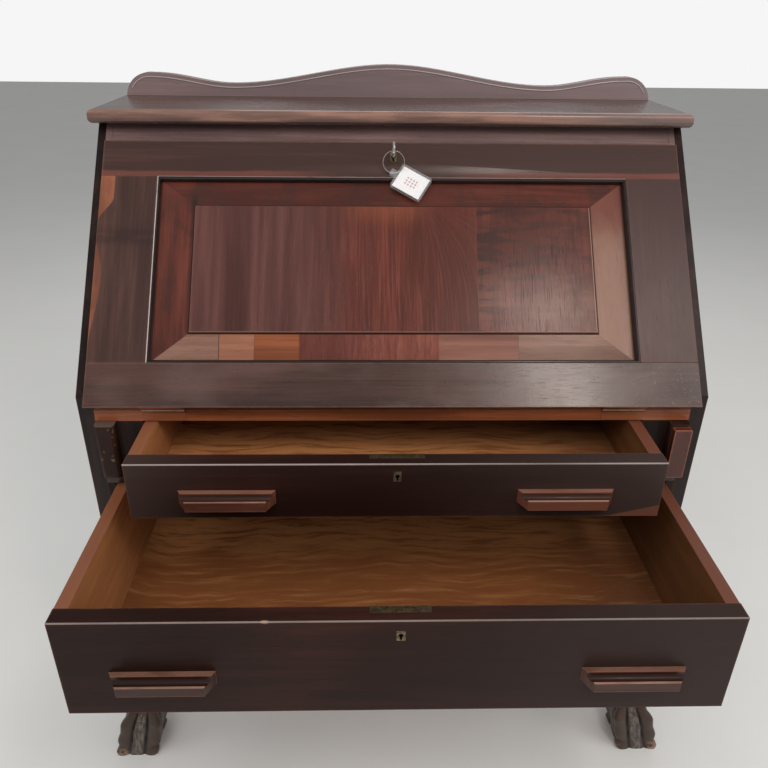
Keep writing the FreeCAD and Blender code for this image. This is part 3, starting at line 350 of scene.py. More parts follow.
# %% Clear plastic, faintly scuffed
recipe = Recipe("clear_plastic")
scuff = recipe.noise(900.0, 3.0).step(0.5, 0.8)
recipe.set(base_color=recipe.mix(scuff, (0.82, 0.85, 0.86), (0.95, 0.95, 0.95)), ior=1.47,
           roughness=0.04 + scuff * 0.15, alpha=0.14 + scuff * 0.1, coat_weight=0.6, coat_roughness=0.03)
recipe.bump(scuff, 0.05, 0.0001)
CLEAR = recipe.result
print("plastic finish", CLEAR.name)

# %% [markdown]
# ## Dressing the boards
# A saw leaves a board with knife edges, and a maker takes them off with a few strokes of a plane. The
# frame's meshes are loose triangles, so a Weld modifier joins them first and a Bevel modifier then rounds
# only the real edges. The mesh itself stays as the frame has it.

# %% The dressing helper
def dress(node, material, radius=0.8, segments=2):
    """Gives a CAD node its finish and rounds its edges by a radius in millimetres."""
    piece = nodes[node]
    piece.data.materials.clear()
    piece.data.materials.append(material)
    if radius:
        weld = piece.modifiers.new("join", "WELD")
        weld.merge_threshold = 0.00001
        bevel = piece.modifiers.new("rounded_edges", "BEVEL")
        bevel.width = radius * MM
        bevel.segments = segments
        bevel.limit_method = "ANGLE"
        bevel.angle_limit = math.radians(32)


def dress_board(node, palette, grain, radius=0.8, both=False, **looks):
    """A CAD board in wood, with its own grain; both means a matched pair, left and right."""
    leaning = node.startswith("fall_")
    box = flat_box(node) if leaning else half_box(node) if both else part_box(node)
    dress(node, wood(node + "_wood", palette, grain, box, leaning, both, **looks), radius)


print("dressing helpers ready")

# %% The case
NOSE_BROWN = (0.19, 0.105, 0.083)
NOSE_ORANGE = (0.38, 0.2, 0.145)
NOSE_GREY = (0.2, 0.16, 0.155)
GREY_SHEEN = (0.3, 0.245, 0.25)
DARK_PATCH = 0.035

for side in ("left", "right"):
    dress_board("side_" + side, DARK, Z, 1.0, rub=0.35, rub_width=0.002, shine=0.22, coat=0.08)
    dress_board("stile_" + side, DARK, Z, 0.6, rub=0.15, shine=0.12, coat=0.0)
    dress_board("partition_" + side, PLAIN, Y, 0.5, gloss=0.6, coat=0.0)


def worn_nose(face, colour):
    """Orange wear along the rounded front edge of the top, greyer at its right end, dark near the middle,
    with painted shade over the lower half of the nose.
    """
    nose = (face.y - face.low.y).fade(0.006, 0.013)
    wear = face.streaks((5, 60, 60)).step(0.35, 0.62)
    dark = ((face.x - DARK_PATCH).size() + face.noise(30.0, 3.0) * 0.03).fade(0.03, 0.075)
    rubbed = face.mix(wear, NOSE_BROWN, NOSE_ORANGE).mix(face.x.step(0.12, 0.42) * 0.55, NOSE_GREY)
    # painted shade: the lower half of the rounded nose is darkened as if in shadow
    under = (face.z - face.low.z + (wear - 0.5) * 0.003).fade(0.003, 0.0105)
    colour = colour.mix(nose * 0.8, rubbed).mix(nose * under * 0.75, DARK[2])
    return colour.mix(nose * dark * 0.35, DARK[1])


def grey_sheen_face(face, colour):
    """A thin grey painted sheen on the upright face of the gallery, thicker towards its right end."""
    sheen_cloud = face.streaks((5, 5, 22), 3.0, 0.5)
    # painted sheen: grey laid over the face stands for the room reflected in its polish
    return colour.mix(0.2 + sheen_cloud * 0.25 + face.x.step(-0.1, 0.45) * 0.2, GREY_SHEEN)


dress_board("top_board", BROWN, X, 0.0, rub=0.3, gloss=0.26, coat=0.4, shine=0.45, relief=0.008,
            extra=worn_nose)
dress_board("gallery", MAUVE, X, 2.2, rub=0.3, shine=0.6, extra=grey_sheen_face)
dress_board("fascia_rail", dimmed(MAUVE, 0.72), X, 0.5, shine=0.3)
dress_board("drawer_rail", DARK, X)
dress_board("bottom_rail", DARK, X, 1.0)
dress_board("lower_stiles", DARK, Z, 0.6, both=True, rub=0.1, shine=0.15, coat=0.0)
dress_board("desk_board", ORANGE, X, gloss=0.4, rub=0.3, shine=0.3)
dress_board("back_panel", PLAIN, Z, 0.4, gloss=0.62, coat=0.0, rub=0.2)
dress_board("bottom_board", PLAIN, X, 0.5, gloss=0.62, coat=0.0)
for node in ("drawer_runners", "drawer_guides"):
    dress_board(node, PLAIN, Y, 0.5, both=True, gloss=0.6, coat=0.0)
for piece, grain in (("shelf", X), ("top", X), ("dividers", Y)):
    dress_board("pigeonhole_" + piece, ORANGE, grain, gloss=0.42)
print("case boards dressed")

# %% [markdown]
# ## The frame of the fall
# Rails and stiles are cut from darker wood than the panel. The left stile was sawn close to the bark, so a
# streak of orange sapwood runs down its outer edge and fades towards the foot.

# %% The fall's frame
KNOT_HEIGHT = 0.262


def sapwood_edge(face, colour):
    """Orange sapwood down the outer edge of the left stile, with a dark knot where it breaks off."""
    wander = (face.streaks((30, 30, 9)) - 0.5) * 0.008
    upper = face.z.step(0.285, 0.325) * 0.022
    lower = face.z.step(0.08, 0.19) * face.z.fade(0.2, KNOT_HEIGHT) * 0.0105
    streak = (face.x - face.low.x + wander * 0.6 - upper - lower).fade(-0.001, 0.001)
    orange = face.mix(wander.step(-0.002, 0.002), ORANGE[0], ORANGE[3])
    cloud = face.streaks((14, 14, 60))
    knot = (face.z - KNOT_HEIGHT).size().fade(0.002, 0.02) * cloud.step(0.3, 0.6)
    return colour.mix(streak * 0.55, orange).mix(knot * 0.6, DARK[1])


def red_lower_edge(face, colour):
    """A reddish band along the lower edge of the top rail, towards its ends."""
    wander = (face.streaks((7, 30, 30)) - 0.5) * 0.012
    band = (face.z - face.low.z + wander).fade(0.007, 0.011)
    return colour.mix(band * face.x.size().step(0.06, 0.2) * 0.5, BRICK[1])


def bruised_polish(face, colour):
    """Rubbed patches and dark dents on the bottom rail, with pale scuffs on its right."""
    patch = face.streaks((9, 9, 16), 3.0, 0.5).step(0.45, 0.7)
    dents = face.streaks((160, 160, 420), 2.0, 0.5).step(0.68, 0.74)
    scuffs = face.streaks((210, 210, 300), 3.0).step(0.6, 0.7) * face.x.step(0.05, 0.3)
    return colour.mix(patch * 0.4, FADED[0]).mix(dents * 0.6, DARK[0]).mix(scuffs * 0.3, FADED[3])


def step_highlight_and_shade(face, colour):
    """The step round the field: a painted highlight on its arris above painted shade in the quirk."""
    # painted highlight on the arris of the step, painted shade below it in the quirk
    arris = (face.y - face.low.y).fade(0.0004, 0.0014)
    return colour.mix(0.8, DARK[0]).mix(arris * 0.75, PALE[2])


dress_board("fall_rail_top", BROWN, X, rub=0.3, figure=0.6, extra=red_lower_edge)
dress_board("fall_rail_bottom", dimmed(BROWN, 0.75), X, rub=0.3, gloss=0.24, shine=0.5, coat=0.3,
            extra=bruised_polish)
dress_board("fall_stile_left", dimmed(BROWN, 0.9), Z, rub=0.2, figure=0.6, extra=sapwood_edge)
dress_board("fall_stile_right", SMOKY, Z, rub=0.2, shine=0.5, figure=0.6)
dress_board("fall_panel", BRICK, X, 0.4, extra=step_highlight_and_shade)
print("fall frame dressed")

# %% [markdown]
# ## The drawers
# The fronts are nearly black with polish, the linings are left bare and have gone the colour of honey. The
# hollow of each bar pull is darkened with painted shade, and its ridge and lip carry painted highlights.

# %% Wear and painted light of the drawer fronts
CHIP_PLACE = 0.163
CHIP_COLOUR = (0.32, 0.19, 0.12)
END_SHEEN = (0.07, 0.048, 0.043)
ARRIS_HIGHLIGHT = (0.62, 0.54, 0.5)
REFLECTION_CORNER = 0.285
REFLECTION_RISE = 0.25


def chipped_edge(face, colour):
    """A pale chip on the top edge of the lower front."""
    across = (face.x + CHIP_PLACE) * 0.55
    inward = face.y - face.low.y
    above = face.z - face.high.z
    away = (across * across + inward * inward + above * above).root()
    return colour.mix((away + face.noise(260.0, 3.0) * 0.003).fade(0.003, 0.0052), CHIP_COLOUR)


def front_wear_and_painted_light(face, colour, lower, share):
    """Paler ends as a painted sheen and a painted highlight along the upper arris; the lower front is
    chipped, the top one carries a painted orange reflection at its lower right corner.
    """
    # painted sheen: the ends of the fronts are lightened
    sheen_ends = face.x.step(-0.05, 0.42)
    if lower:
        colour = chipped_edge(face, colour)
    else:
        sheen_ends = sheen_ends.most(face.x.fade(-0.42, -0.2))
        # painted reflection: an orange triangle at the lower right corner of the top front
        corner = (face.x - REFLECTION_CORNER) * REFLECTION_RISE - (face.z - face.low.z)
        colour = colour.mix(corner.step(0.0, 0.003) * 0.75, ORANGE[1])
    # painted highlight along the upper arris of the front
    arris = (face.y - face.low.y).most(face.high.z - face.z).fade(0.0012, 0.0019)
    uneven = face.streaks((6, 60, 60), 3.0, 0.5)
    return colour.mix(sheen_ends * share * 0.55, END_SHEEN).mix(arris * uneven * share, ARRIS_HIGHLIGHT)


print("wear of fronts ready, chip at", -CHIP_PLACE, "m")

# %% Painted light and wear of the pulls and linings
HOLLOW_OUT, HOLLOW_DOWN, LIP_DROP = 0.013, 0.003, 0.006
UPPER_EDGE = (0.0004, 0.0012)
HOLLOW_SHADE = (0.018, 0.008, 0.006)
RIDGE_HIGHLIGHT = (0.3, 0.155, 0.105)
LIP_HIGHLIGHT = (0.42, 0.23, 0.165)
PALE_LINING = (0.62, 0.3, 0.13)
FRONT_SHADE, BACK_LIGHT, RIGHT_END_SHADE = (0.16, 0.06, 0.021), (0.9, 0.42, 0.16), (0.07, 0.03, 0.016)
DARK_FLECK, PALE_FLECK = (0.17, 0.055, 0.018), (0.6, 0.3, 0.12)


def pull_shade_and_highlights(face, colour, lower):
    """Painted shade along the hollow of a drawer's pulls, painted highlights on the ridge's top and on the
    lip; the top drawer's right pull is the palest.
    """
    if not lower:
        colour = colour.mix(face.signed_x.step(-0.1, 0.1) * 0.5, TOFFEE[2])
    down = face.high.z - face.z
    out = face.y - (face.high.y - HOLLOW_OUT)
    below = down - HOLLOW_DOWN
    hollow = (out * out + below * below).root().fade(0.0056, 0.0064)
    patchy = face.streaks((14, 60, 60)).step(0.3, 0.6)
    lip = (down - LIP_DROP).size().fade(0.0006, 0.0016) * (out + 0.0045).fade(-0.0005, 0.0005)
    # painted shade in the hollow, then painted highlights on the ridge's top and on the lip
    colour = colour.mix(hollow * down.step(0.0012, 0.004) * 0.85, HOLLOW_SHADE)
    colour = colour.mix(down.fade(*UPPER_EDGE) * (0.2 + patchy * 0.35), RIDGE_HIGHLIGHT)
    return colour.mix(lip * (0.4 + patchy * 0.45), LIP_HIGHLIGHT)


def handled_top(face, colour, share):
    """The upper edge of a drawer side, browned by hands; share dims the whole side, as painted shade on the
    right-hand sides.
    """
    edge = (face.high.z - face.z).fade(*UPPER_EDGE)
    return colour.mix(0.3, [share * value for value in PALE_LINING]).mix(edge * 0.75, TOFFEE[1])


def flecked(face, colour, front_shade_depth, paleness):
    """Short wavy flecks in a drawer bottom, with painted shade towards the front and at the right end, and
    painted light towards the back.
    """
    deep = (face.y - face.low.y).step(front_shade_depth, front_shade_depth + 0.18)
    right = (face.high.x - face.x).fade(0.02, 0.22)
    sway = face.streaks((6, 6, 6), 2.0, 0.5)
    run = face.node("CombineXYZ", {"X": face.x * 9, "Y": face.y * 95 + sway * 7})
    fleck = face.noise(1.0, 5.0, 0.68, vector=run)
    # painted shade at the front and the right end, painted light at the back
    colour = colour.mix(0.7 - deep * 0.7, FRONT_SHADE).mix(deep * paleness, BACK_LIGHT).mix(right * 0.6, RIGHT_END_SHADE)
    colour = colour.mix(fleck.step(0.47, 0.62) * 0.7, DARK_FLECK)
    return colour.mix(fleck.fade(0.3, 0.5) * 0.25, PALE_FLECK)


print("wear of pulls and linings ready")

# %% Drawer boxes and pulls
# Columns: name, shine, arris (strength of the fronts' painted sheen and highlight), polish, and the depth
# and paleness of the bottoms' painted shade and light.
DRAWERS = (("top_drawer_", 0.2, 1.0, 0.7, 0.02, 0.45), ("lower_drawer_", 0.14, 0.6, 0.45, 0.22, 0.8))
lining = {"gloss": 0.5, "coat": 0.05}

for drawer, shine, arris, polish, front_shade_depth, paleness in DRAWERS:
    lower = drawer == "lower_drawer_"
    dress_board(drawer + "front", STAINED, X, 2.4, rub=0.4, rub_width=0.002, gloss=0.36, coat=0.0,
                shine=shine, figure=0.5, extra=front_wear_and_painted_light, details=(lower, arris))
    dress_board(drawer + "pulls", dimmed(TOFFEE, polish), X, 0.9, both=True, rub_width=0.0014, gloss=0.36,
                shine=0.3, coat=0.1, extra=pull_shade_and_highlights, details=(lower,))
    dress_board(drawer + "bottom", HONEY, X, 0.3, figure=0.7, extra=flecked,
                details=(front_shade_depth, paleness), **lining)
    dress_board(drawer + "back", HONEY, X, **lining)
    # The right-hand sides are dimmed to 0.35: painted shade, as if the light came from the right
    for side, share in (("left", 1.0), ("right", 0.35)):
        dress_board(drawer + "side_" + side, dimmed(HONEY, share), Y, rub=0.2, extra=handled_top,
                    details=(share,), **lining)
print("drawers dressed")

# %% [markdown]
# ## Slides and fittings
# The slides, or lopers, are plain bars. The left one has lost its facing, so its bare end shows worn wood
# with spots of old glue. Hinges, locks and keyhole plates are brass.

# %% Slides and fittings
GLUE = (0.3, 0.21, 0.11)
WORN_SLIDE = (0.26, 0.2, 0.16)


def old_glue(face, colour):
    """Pale wear along the top and yellow glue on the bare end of the left slide."""
    end = (face.y - face.low.y).fade(0.0, 0.004)
    blot = face.noise(95.0, 2.0, 0.5).step(0.62, 0.7)
    top = (face.high.z - face.z).fade(0.0, 0.004)
    return colour.mix(end * blot * 0.4, GLUE).mix(top * 0.3, WORN_SLIDE)


for place in ("fall_", "top_drawer_", "lower_drawer_"):
    dress(place + "lock", BRASS, 0.2, 1)
    dress(place + "bolt", BRASS, 0.2, 1)
    dress(place + "keyhole_plate", PLATE_BRASS, 0.2, 1)
dress("hinge_pins", BRASS, 0.2, 1)
dress("fall_hinge_leaves", HINGE, 0.2, 1)
dress("desk_hinge_leaves", HINGE, 0.2, 1)
dress("key", STEEL, 0.6)
dress("key_fob", CLEAR, 0.9, 3)
bare_bar = {"gloss": 0.55, "coat": 0.0, "shine": 0.2}
dress_board("loper_left", dimmed(BROWN, 0.5), Y, 0.6, rub=0.2, extra=old_glue, **bare_bar)
dress_board("loper_right", dimmed(BROWN, 0.35), Y, 0.6, rub=0.15, **bare_bar)
dress_board("loper_facing", RED, Z, 1.2, rub=0.8)
print("fittings dressed")

# %% [markdown]
# ## New pieces
# Pieces that the frame leaves out or keeps plain are built with mesh operators, in place, and ride on the
# body that carries them. Faces are smooth, with sharp edges where two meet at more than a set angle.

# %% The helpers for new pieces
def put_in_scene(name, data):
    """A new object of the scene, made from a mesh, a light or a camera."""
    made = bpy.data.objects.new(name, data)
    bpy.context.scene.collection.objects.link(made)
    return made


def add_piece(name, mesh, material, body, sharp=35):
    """Puts a finished mesh in the scene as a piece of a body."""
    bmesh.ops.recalc_face_normals(mesh, faces=mesh.faces)
    data = bpy.data.meshes.new(name)
    mesh.to_mesh(data)
    mesh.free()
    data.materials.append(material)
    data.shade_smooth()
    data.set_sharp_from_angle(angle=math.radians(sharp))
    piece = put_in_scene(name, data)
    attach(piece, body)
    return piece


def bridge(mesh, rings):
    """Faces between rings of vertices."""
    for ring, following in zip(rings, rings[1:]):
        for number in range(len(ring)):
            after = (number + 1) % len(ring)
            mesh.faces.new((ring[number], ring[after], following[after], following[number]))


def closed_skin(mesh, rings):
    """Faces between rings of vertices, and over the first and the last ring."""
    bridge(mesh, rings)
    mesh.faces.new(rings[0])
    mesh.faces.new(rings[-1])


def tube(mesh, path, radius, sides=8):
    """A round bar along a path."""
    turns = [2 * math.pi * side / sides for side in range(sides)]
    rings = []
    for number, spot in enumerate(path):
        ahead = (path[min(number + 1, len(path) - 1)] - path[max(number - 1, 0)]).normalized()
        across = (across - ahead * across.dot(ahead) if number else ahead.orthogonal()).normalized()
        other = ahead.cross(across)
        rim = [spot + radius * (math.cos(turn) * across + math.sin(turn) * other) for turn in turns]
        rings.append([mesh.verts.new(point) for point in rim])
    closed_skin(mesh, rings)


print("piece helpers ready")

# %% [markdown]
# ## Veneers of the fall
# The panel is faced with sheets of showy wood. The raised field has two: a long one that turns from smoky
# brown to red, and a short smudged one. The sloping border is mitred at its corners, and its bottom member
# is pieced from six blocks, two of them orange. All are about a third of a millimetre thick.

# %% Edges of the panel and the veneer helpers
VENEER = 0.3
SEAM = 0.12
OPEN_JOINT = 0.7
FIELD_SEAM = 125
MOULDING_WIDTH = 5.2
panel_points = [point / MM for point in flat_points("fall_panel")]
levels = sorted({round(point.y, 1) for point in panel_points})
panel_front = min(point.y for point in panel_points)
border_top, border_foot = levels[1:3]


def panel_ring(level):
    """Left, right, low and high edges of the panel's ring of corners at a level, in millimetres."""
    low, high = box_of([point for point in panel_points if abs(point.y - level) < 0.05])
    return low.x, high.x, low.z, high.z


def rectangle(edges, inset=0):
    """The corners of a rectangle, inset by a distance, from the lower left one round."""
    left, low = edges[0] + inset, edges[2] + inset
    right, high = edges[1] - inset, edges[3] - inset
    return [(left, low), (right, low), (right, high), (left, high)]


field = panel_ring(levels[0])
field_foot = panel_ring(border_top)
stile_edge = flat_box("fall_stile_right")[0].x / MM
opening = (-stile_edge, stile_edge, flat_box("fall_rail_bottom")[1].z / MM,
           flat_box("fall_rail_top")[0].z / MM)


def veneer(name, corners, material, body="fall"):
    """A thin sheet glued on the slope, given by its corners in the leaning frame."""
    mesh = bmesh.new()
    face = mesh.faces.new([mesh.verts.new(corner) for corner in corners])
    grown = bmesh.ops.extrude_face_region(mesh, geom=[face])["geom"]
    raised = [item for item in grown if isinstance(item, bmesh.types.BMVert)]
    bmesh.ops.translate(mesh, verts=raised, vec=(0, -VENEER, 0))
    mesh.transform(FALL @ Matrix.Scale(MM, 4))
    add_piece(name, mesh, material, body, 20)


def fall_veneer(name, corners, palette, grain, **looks):
    """A veneer of the fall, under clear polish."""
    looks.update(gloss=0.25, shine=0.3, coat=0.12, relief=0.2)
    veneer(name, corners, wood(name + "_wood", palette, grain, None, True, **looks))


print("field", [round(edge, 1) for edge in field], "opening", [round(edge, 1) for edge in opening])

# %% Veneers of the field
FLAME_HEAD = 0.325
GLOW_X, GLOW_Z = -0.01, 0.318


def flame_figure(face):
    """Fine lines that run upright on the left and fan out from the head of the sheet on the right."""
    fan = face.sum("EXPONENT", (face.z - FLAME_HEAD) * 16) * face.x.step(0.02, 0.06)
    run = (face.x - 0.03) * face.sum("DIVIDE", 1.0, 1.03 - fan)
    return face.noise(300.0, 2.0, 0.5, vector=face.node("CombineXYZ", {"X": run, "Z": face.z * 0.03}))


def lower_rim_highlight(face, colour):
    """A painted highlight along the lower arris of the field."""
    return colour.mix((face.z - field[2] * MM).fade(0.0005, 0.0012) * 0.35, PALE[1])


def smoky_end(face, colour):
    """The long sheet: smoky upright bands at its left end, red with fine lines towards the seam."""
    lines = flame_figure(face)
    colour = colour.mix(lines.step(0.45, 0.57) * 0.4, RED[0]).mix(lines.fade(0.35, 0.46) * 0.08, BRICK[3])
    bands = face.streaks((34, 34, 1.6))
    smoke = (face.x + (bands - 0.5) * 0.16).fade(-0.13, -0.02)
    colour = colour.mix(smoke * 0.85, face.ramp(bands.step(0.3, 0.7), (0.0, 0.35, 0.7, 1.0), SMOKY))
    across, above = face.x - GLOW_X, face.z - GLOW_Z
    glow = (across * across * 0.3 + above * above).root()
    return lower_rim_highlight(face, colour.mix(glow.fade(0.008, 0.05) * 0.25, ORANGE[2]))


def smudged_end(face, colour):
    """The short sheet: dark level smudges above and by the seam, a pale painted sheen below, and a painted
    highlight along its right arris.
    """
    smudge = face.streaks((15, 15, 70), 4.0, 0.6, 0.6).step(0.43, 0.6)
    upper = face.z.step(0.16, 0.23)
    seam = face.x.fade(0.135, 0.2)
    lower_sheen = face.streaks((14, 14, 12), 3.0, 0.5).step(0.3, 0.7)
    # painted sheen: a pale patch over the lower part of the sheet
    colour = colour.mix((1 - upper) * lower_sheen * 0.2, PALE[2])
    colour = colour.mix(smudge * (0.25 + upper * 0.3 + seam * 0.3), dimmed(BROWN, 0.7)[0])
    # painted highlight along the field's right arris
    right_rim_highlight = (field[1] * MM - face.x).fade(0.0007, 0.0014)
    return lower_rim_highlight(face, colour).mix(right_rim_highlight * 0.55, TAN[2])


SHEETS = (("main", field[0], FIELD_SEAM, smoky_end), ("end", FIELD_SEAM, field[1], smudged_end))
for part, left, right, finish in SHEETS:
    sheet = [(x, panel_front, z) for x, z in rectangle((left + SEAM, right - SEAM, *field[2:]))]
    fall_veneer("fall_field_" + part, sheet, dimmed(RED, 1.2), Z, figure=0.7, extra=finish)
print("two veneers on the field, seam at", FIELD_SEAM, "mm")

# %% Veneers of the border
BLOCK_SEAMS = (-257, -206, -140, 65, 183)
LONG_BLOCK = dimmed(BRICK, 1.2)
BLOCKS = (dimmed(PALE, 0.82), dimmed(WARM, 1.25), dimmed(ORANGE, 0.92), LONG_BLOCK, dimmed(PEACH, 0.82),
          dimmed(PALE, 0.66))


def cloudy(face, colour):
    """Brown clouds that quieten the red of the border, and a painted shadow of the field's step in the
    corner beside the field.
    """
    cloud = face.streaks((26, 26, 12), 4.0, 0.6, 0.5)
    beside = (face.x - field_foot[0] * MM).size().fade(0.0015, 0.0065)
    # painted shadow cast by the field's step onto the left border
    step_shadow = beside * face.z.step(field_foot[2] * MM, field_foot[2] * MM + 0.004) * face.z.fade(0.32, 0.335)
    return colour.mix(0.2 + cloud.step(0.42, 0.68) * 0.5, BROWN[0]).mix(step_shadow * 0.6, DARK[1])


def right_border_sheen_and_shade(face, colour):
    """The right border: pale below as a painted sheen, still red at its head, with painted shade against
    the moulding and beside the field's step.
    """
    cloud = face.streaks((30, 30, 14), 4.0, 0.6, 0.5)
    head = (face.z + (cloud - 0.5) * 0.09).step(0.22, 0.32)
    # painted shade cast by the moulding and at the foot of the field's step
    moulding = ((opening[1] - MOULDING_WIDTH) * MM - face.x).fade(0.0005, 0.005)
    step_foot = (face.x - field_foot[1] * MM).fade(0.0003, 0.0016)
    colour = colour.mix(cloud * 0.4, PEACH[1]).mix(head * 0.85, BRICK[0])
    return colour.mix(moulding.most(step_foot * 0.8) * 0.7, DARK[2])


def darker_left(face, colour):
    """The long block: dark at its left end, with fine upright lines."""
    lines = face.streaks((330, 330, 12), 2.0, 0.5)
    return colour.mix(face.x.fade(-0.09, 0.0) * 0.65, RED[0]).mix(lines.step(0.46, 0.6) * 0.35, RED[0])


# The right border's pale tan palette is a painted sheen.
MITRED = (("right", dimmed(TAN, 0.93), Z, right_border_sheen_and_shade), ("top", RED, X, cloudy), ("left", RED, Z, cloudy))
outer = rectangle(opening)
inner = rectangle(field_foot)
for number, (side, palette, grain, finish) in enumerate(MITRED, 1):
    after = (number + 1) % 4
    rim = [(x, border_foot, z) for x, z in (outer[number], outer[after])]
    head = [(x, border_top, z) for x, z in (inner[after], inner[number])]
    fall_veneer("fall_border_" + side, rim + head, palette, grain, extra=finish)
starts = [(opening[0], field_foot[0])] + [(seam + SEAM,) * 2 for seam in BLOCK_SEAMS]
stops = [(seam - SEAM,) * 2 for seam in BLOCK_SEAMS] + [(opening[1], field_foot[1])]
stops[0] = (BLOCK_SEAMS[0] - SEAM - OPEN_JOINT,) * 2
for number, (start, stop, palette) in enumerate(zip(starts, stops, BLOCKS), 1):
    rim = [(x, border_foot, opening[2]) for x in (start[0], stop[0])]
    head = [(x, border_top, field_foot[2]) for x in (stop[1], start[1])]
    grain, finish = (Z, darker_left) if palette is LONG_BLOCK else (X, None)
    fall_veneer(f"fall_border_bottom_{number}", rim + head, palette, grain, extra=finish)
print("nine veneers on the border")

# %% [markdown]
# ## The ends of the fascia
# The rail above the fall is cut to fit between the sides. Two slips of the same wood carry it over their
# front edges.

# %% Fascia ends
points = [point / MM for point in flat_points("fascia_rail")]
fascia_front = min(point.y for point in points)
low, high = box_of([point for point in points if point.y < fascia_front + 0.05])
outside = flat_box("fall_rail_top")[1].x / MM
slip = rectangle((high.x, outside, low.z, high.z - 0.5))
for side, sign in (("left", -1), ("right", 1)):
    corners = [(sign * x, fascia_front, z) for x, z in slip]
    veneer("fascia_end_" + side, corners, nodes["fascia_rail"].data.materials[0], "case")
print("fascia ends", round(outside - high.x, 1), "mm long")

# %% [markdown]
# ## The moulding round the panel
# A small rounded moulding is planted in the corner between frame and panel. Its section is swept round the
# opening with mitred corners: one rectangle of vertices for each point of the section.

# %% Panel moulding
MOULDING = ((0, -18.1), (0.9, -18.9), (2.0, -19.0), (3.6, -17.8), (4.7, -15.2), (MOULDING_WIDTH, -12.0),
            (MOULDING_WIDTH, -8.2), (0, -8.2))
CREST_HIGHLIGHT = (0.6, 0.5, 0.47)


def crest_highlight(face, colour):
    """A painted highlight on the crest of the moulding, on the left and along the head."""
    left = (face.x - opening[0] * MM).fade(0.0013, 0.002)
    head = (opening[3] * MM - face.z).fade(0.0008, 0.0014)
    ragged = face.noise(25.0).step(0.3, 0.5)
    return colour.mix(left.most(head * 0.6) * (0.5 + ragged * 0.5), CREST_HIGHLIGHT)


mesh = bmesh.new()
rings = []
for inset, level in MOULDING:
    corners = rectangle(opening, inset)
    rings.append([mesh.verts.new(Vector((x, level, z)) * MM) for x, z in corners])
bridge(mesh, rings + rings[:1])
mesh.transform(FALL)
material = wood("panel_moulding_wood", DARK, X, None, True, gloss=0.3, coat=0.3, shine=0.5,
                extra=crest_highlight)
add_piece("fall_panel_moulding", mesh, material, "fall")
print("moulding of", len(MOULDING), "points")

# %% [markdown]
# ## The scratch bead of the gallery
# A fine bead follows the serpentine top of the gallery, just below its edge. The curve is read from the
# gallery's own front edge, so bead and board keep together.

# %% Gallery bead
BEAD_DROP = 0.0068
BEAD_RADIUS = 0.0011
BEAD_HIGHLIGHT = (0.47, 0.42, 0.42)


def bead_highlight(face, colour):
    """A pale painted highlight along the bead."""
    return colour.mix(0.55 + face.noise(30.0, 3.0) * 0.3, BEAD_HIGHLIGHT)


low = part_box("gallery")[0]
crest = {}
for vertex in nodes["gallery"].data.vertices:
    if vertex.co.y < low.y + 0.001:
        key = round(vertex.co.x, 4)
        crest[key] = max(crest.get(key, 0), vertex.co.z)
spots = [(x, z) for x, z in sorted(crest.items()) if z > low.z + 0.012]
path = []
for number, (x, z) in enumerate(spots):
    before = spots[max(number - 1, 0)]
    after = spots[min(number + 1, len(spots) - 1)]
    slant = Vector((after[0] - before[0], after[1] - before[1])).normalized()
    spot = Vector((x + slant.y * BEAD_DROP, low.y, z - slant.x * BEAD_DROP))
    if spot.z > low.z + 0.004 and (not path or spot.x > path[-1].x + 0.001):
        path.append(spot)
mesh = bmesh.new()
tube(mesh, path, BEAD_RADIUS)
material = wood("gallery_bead_wood", FADED, X, gloss=0.35, extra=bead_highlight)
add_piece("gallery_bead", mesh, material, "case")
print("gallery bead", len(path), "points")

# %% [markdown]
# ## Ring, card and screws
# The split ring is hard wire wound twice round. The card carries a small lattice of dots. Each lock is held
# by two screws through its top plate.

# %% Split ring
RING_WIRE = 0.00058
RING_STEPS = 120

points = [vertex.co for vertex in nodes["key_ring"].data.vertices]
centre = sum(points, Vector()) / len(points)
across = Vector((1, 0, 0))
drop = max(points, key=lambda point: point.z) - centre
upright = (drop - across * drop.dot(across)).normalized()
normal = across.cross(upright)
low, high = box_of(points)
radius = (high.x - low.x) / 2 - 2 * RING_WIRE
path = []
for step in range(RING_STEPS + 1):
    turn = 4 * math.pi * step / RING_STEPS
    shift = RING_WIRE * 1.02 * math.tanh(6 * (step / RING_STEPS - 0.5))
    path.append(centre + radius * (math.cos(turn) * across + math.sin(turn) * upright) + normal * shift)
mesh = bmesh.new()
tube(mesh, path, RING_WIRE)
ring = add_piece("split_ring", mesh, STEEL, "fob", 60)
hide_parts("key_ring")
print("split ring of", RING_STEPS, "steps")

# %% White card with a small lattice of dots in dusty red
FOB_TURN = math.radians(31)
DOT_RATE = 620
CARD_GREY, CARD_WHITE = (0.9, 0.865, 0.86), (0.96, 0.93, 0.925)
DUSTY_RED = (0.42, 0.1, 0.085)

low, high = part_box("fob_card")
lie = (FALL.to_3x3() @ Matrix.Rotation(FOB_TURN, 3, "Y")).to_euler()
recipe = Recipe("dotted_card", (low + high) / 2, lie)
across, up = recipe.x, recipe.z
dots = recipe.sum("SINE", (across + up) * DOT_RATE) * recipe.sum("SINE", (across - up) * DOT_RATE)
printed = dots.step(0.2, 0.35) * (across * across + up * up * 1.6).root().fade(0.0105, 0.0125)
fibres = recipe.noise(900.0, 3.0)
paper = recipe.mix(fibres, CARD_GREY, CARD_WHITE)
recipe.set(base_color=paper.mix(printed * 0.85, DUSTY_RED), roughness=0.5 + fibres * 0.2)
recipe.bump(fibres, 0.1, 0.0002)
dress("fob_card", recipe.result, 0.0)
print("card printed")

# %% Lock screws
SCREW_INSET = 0.011


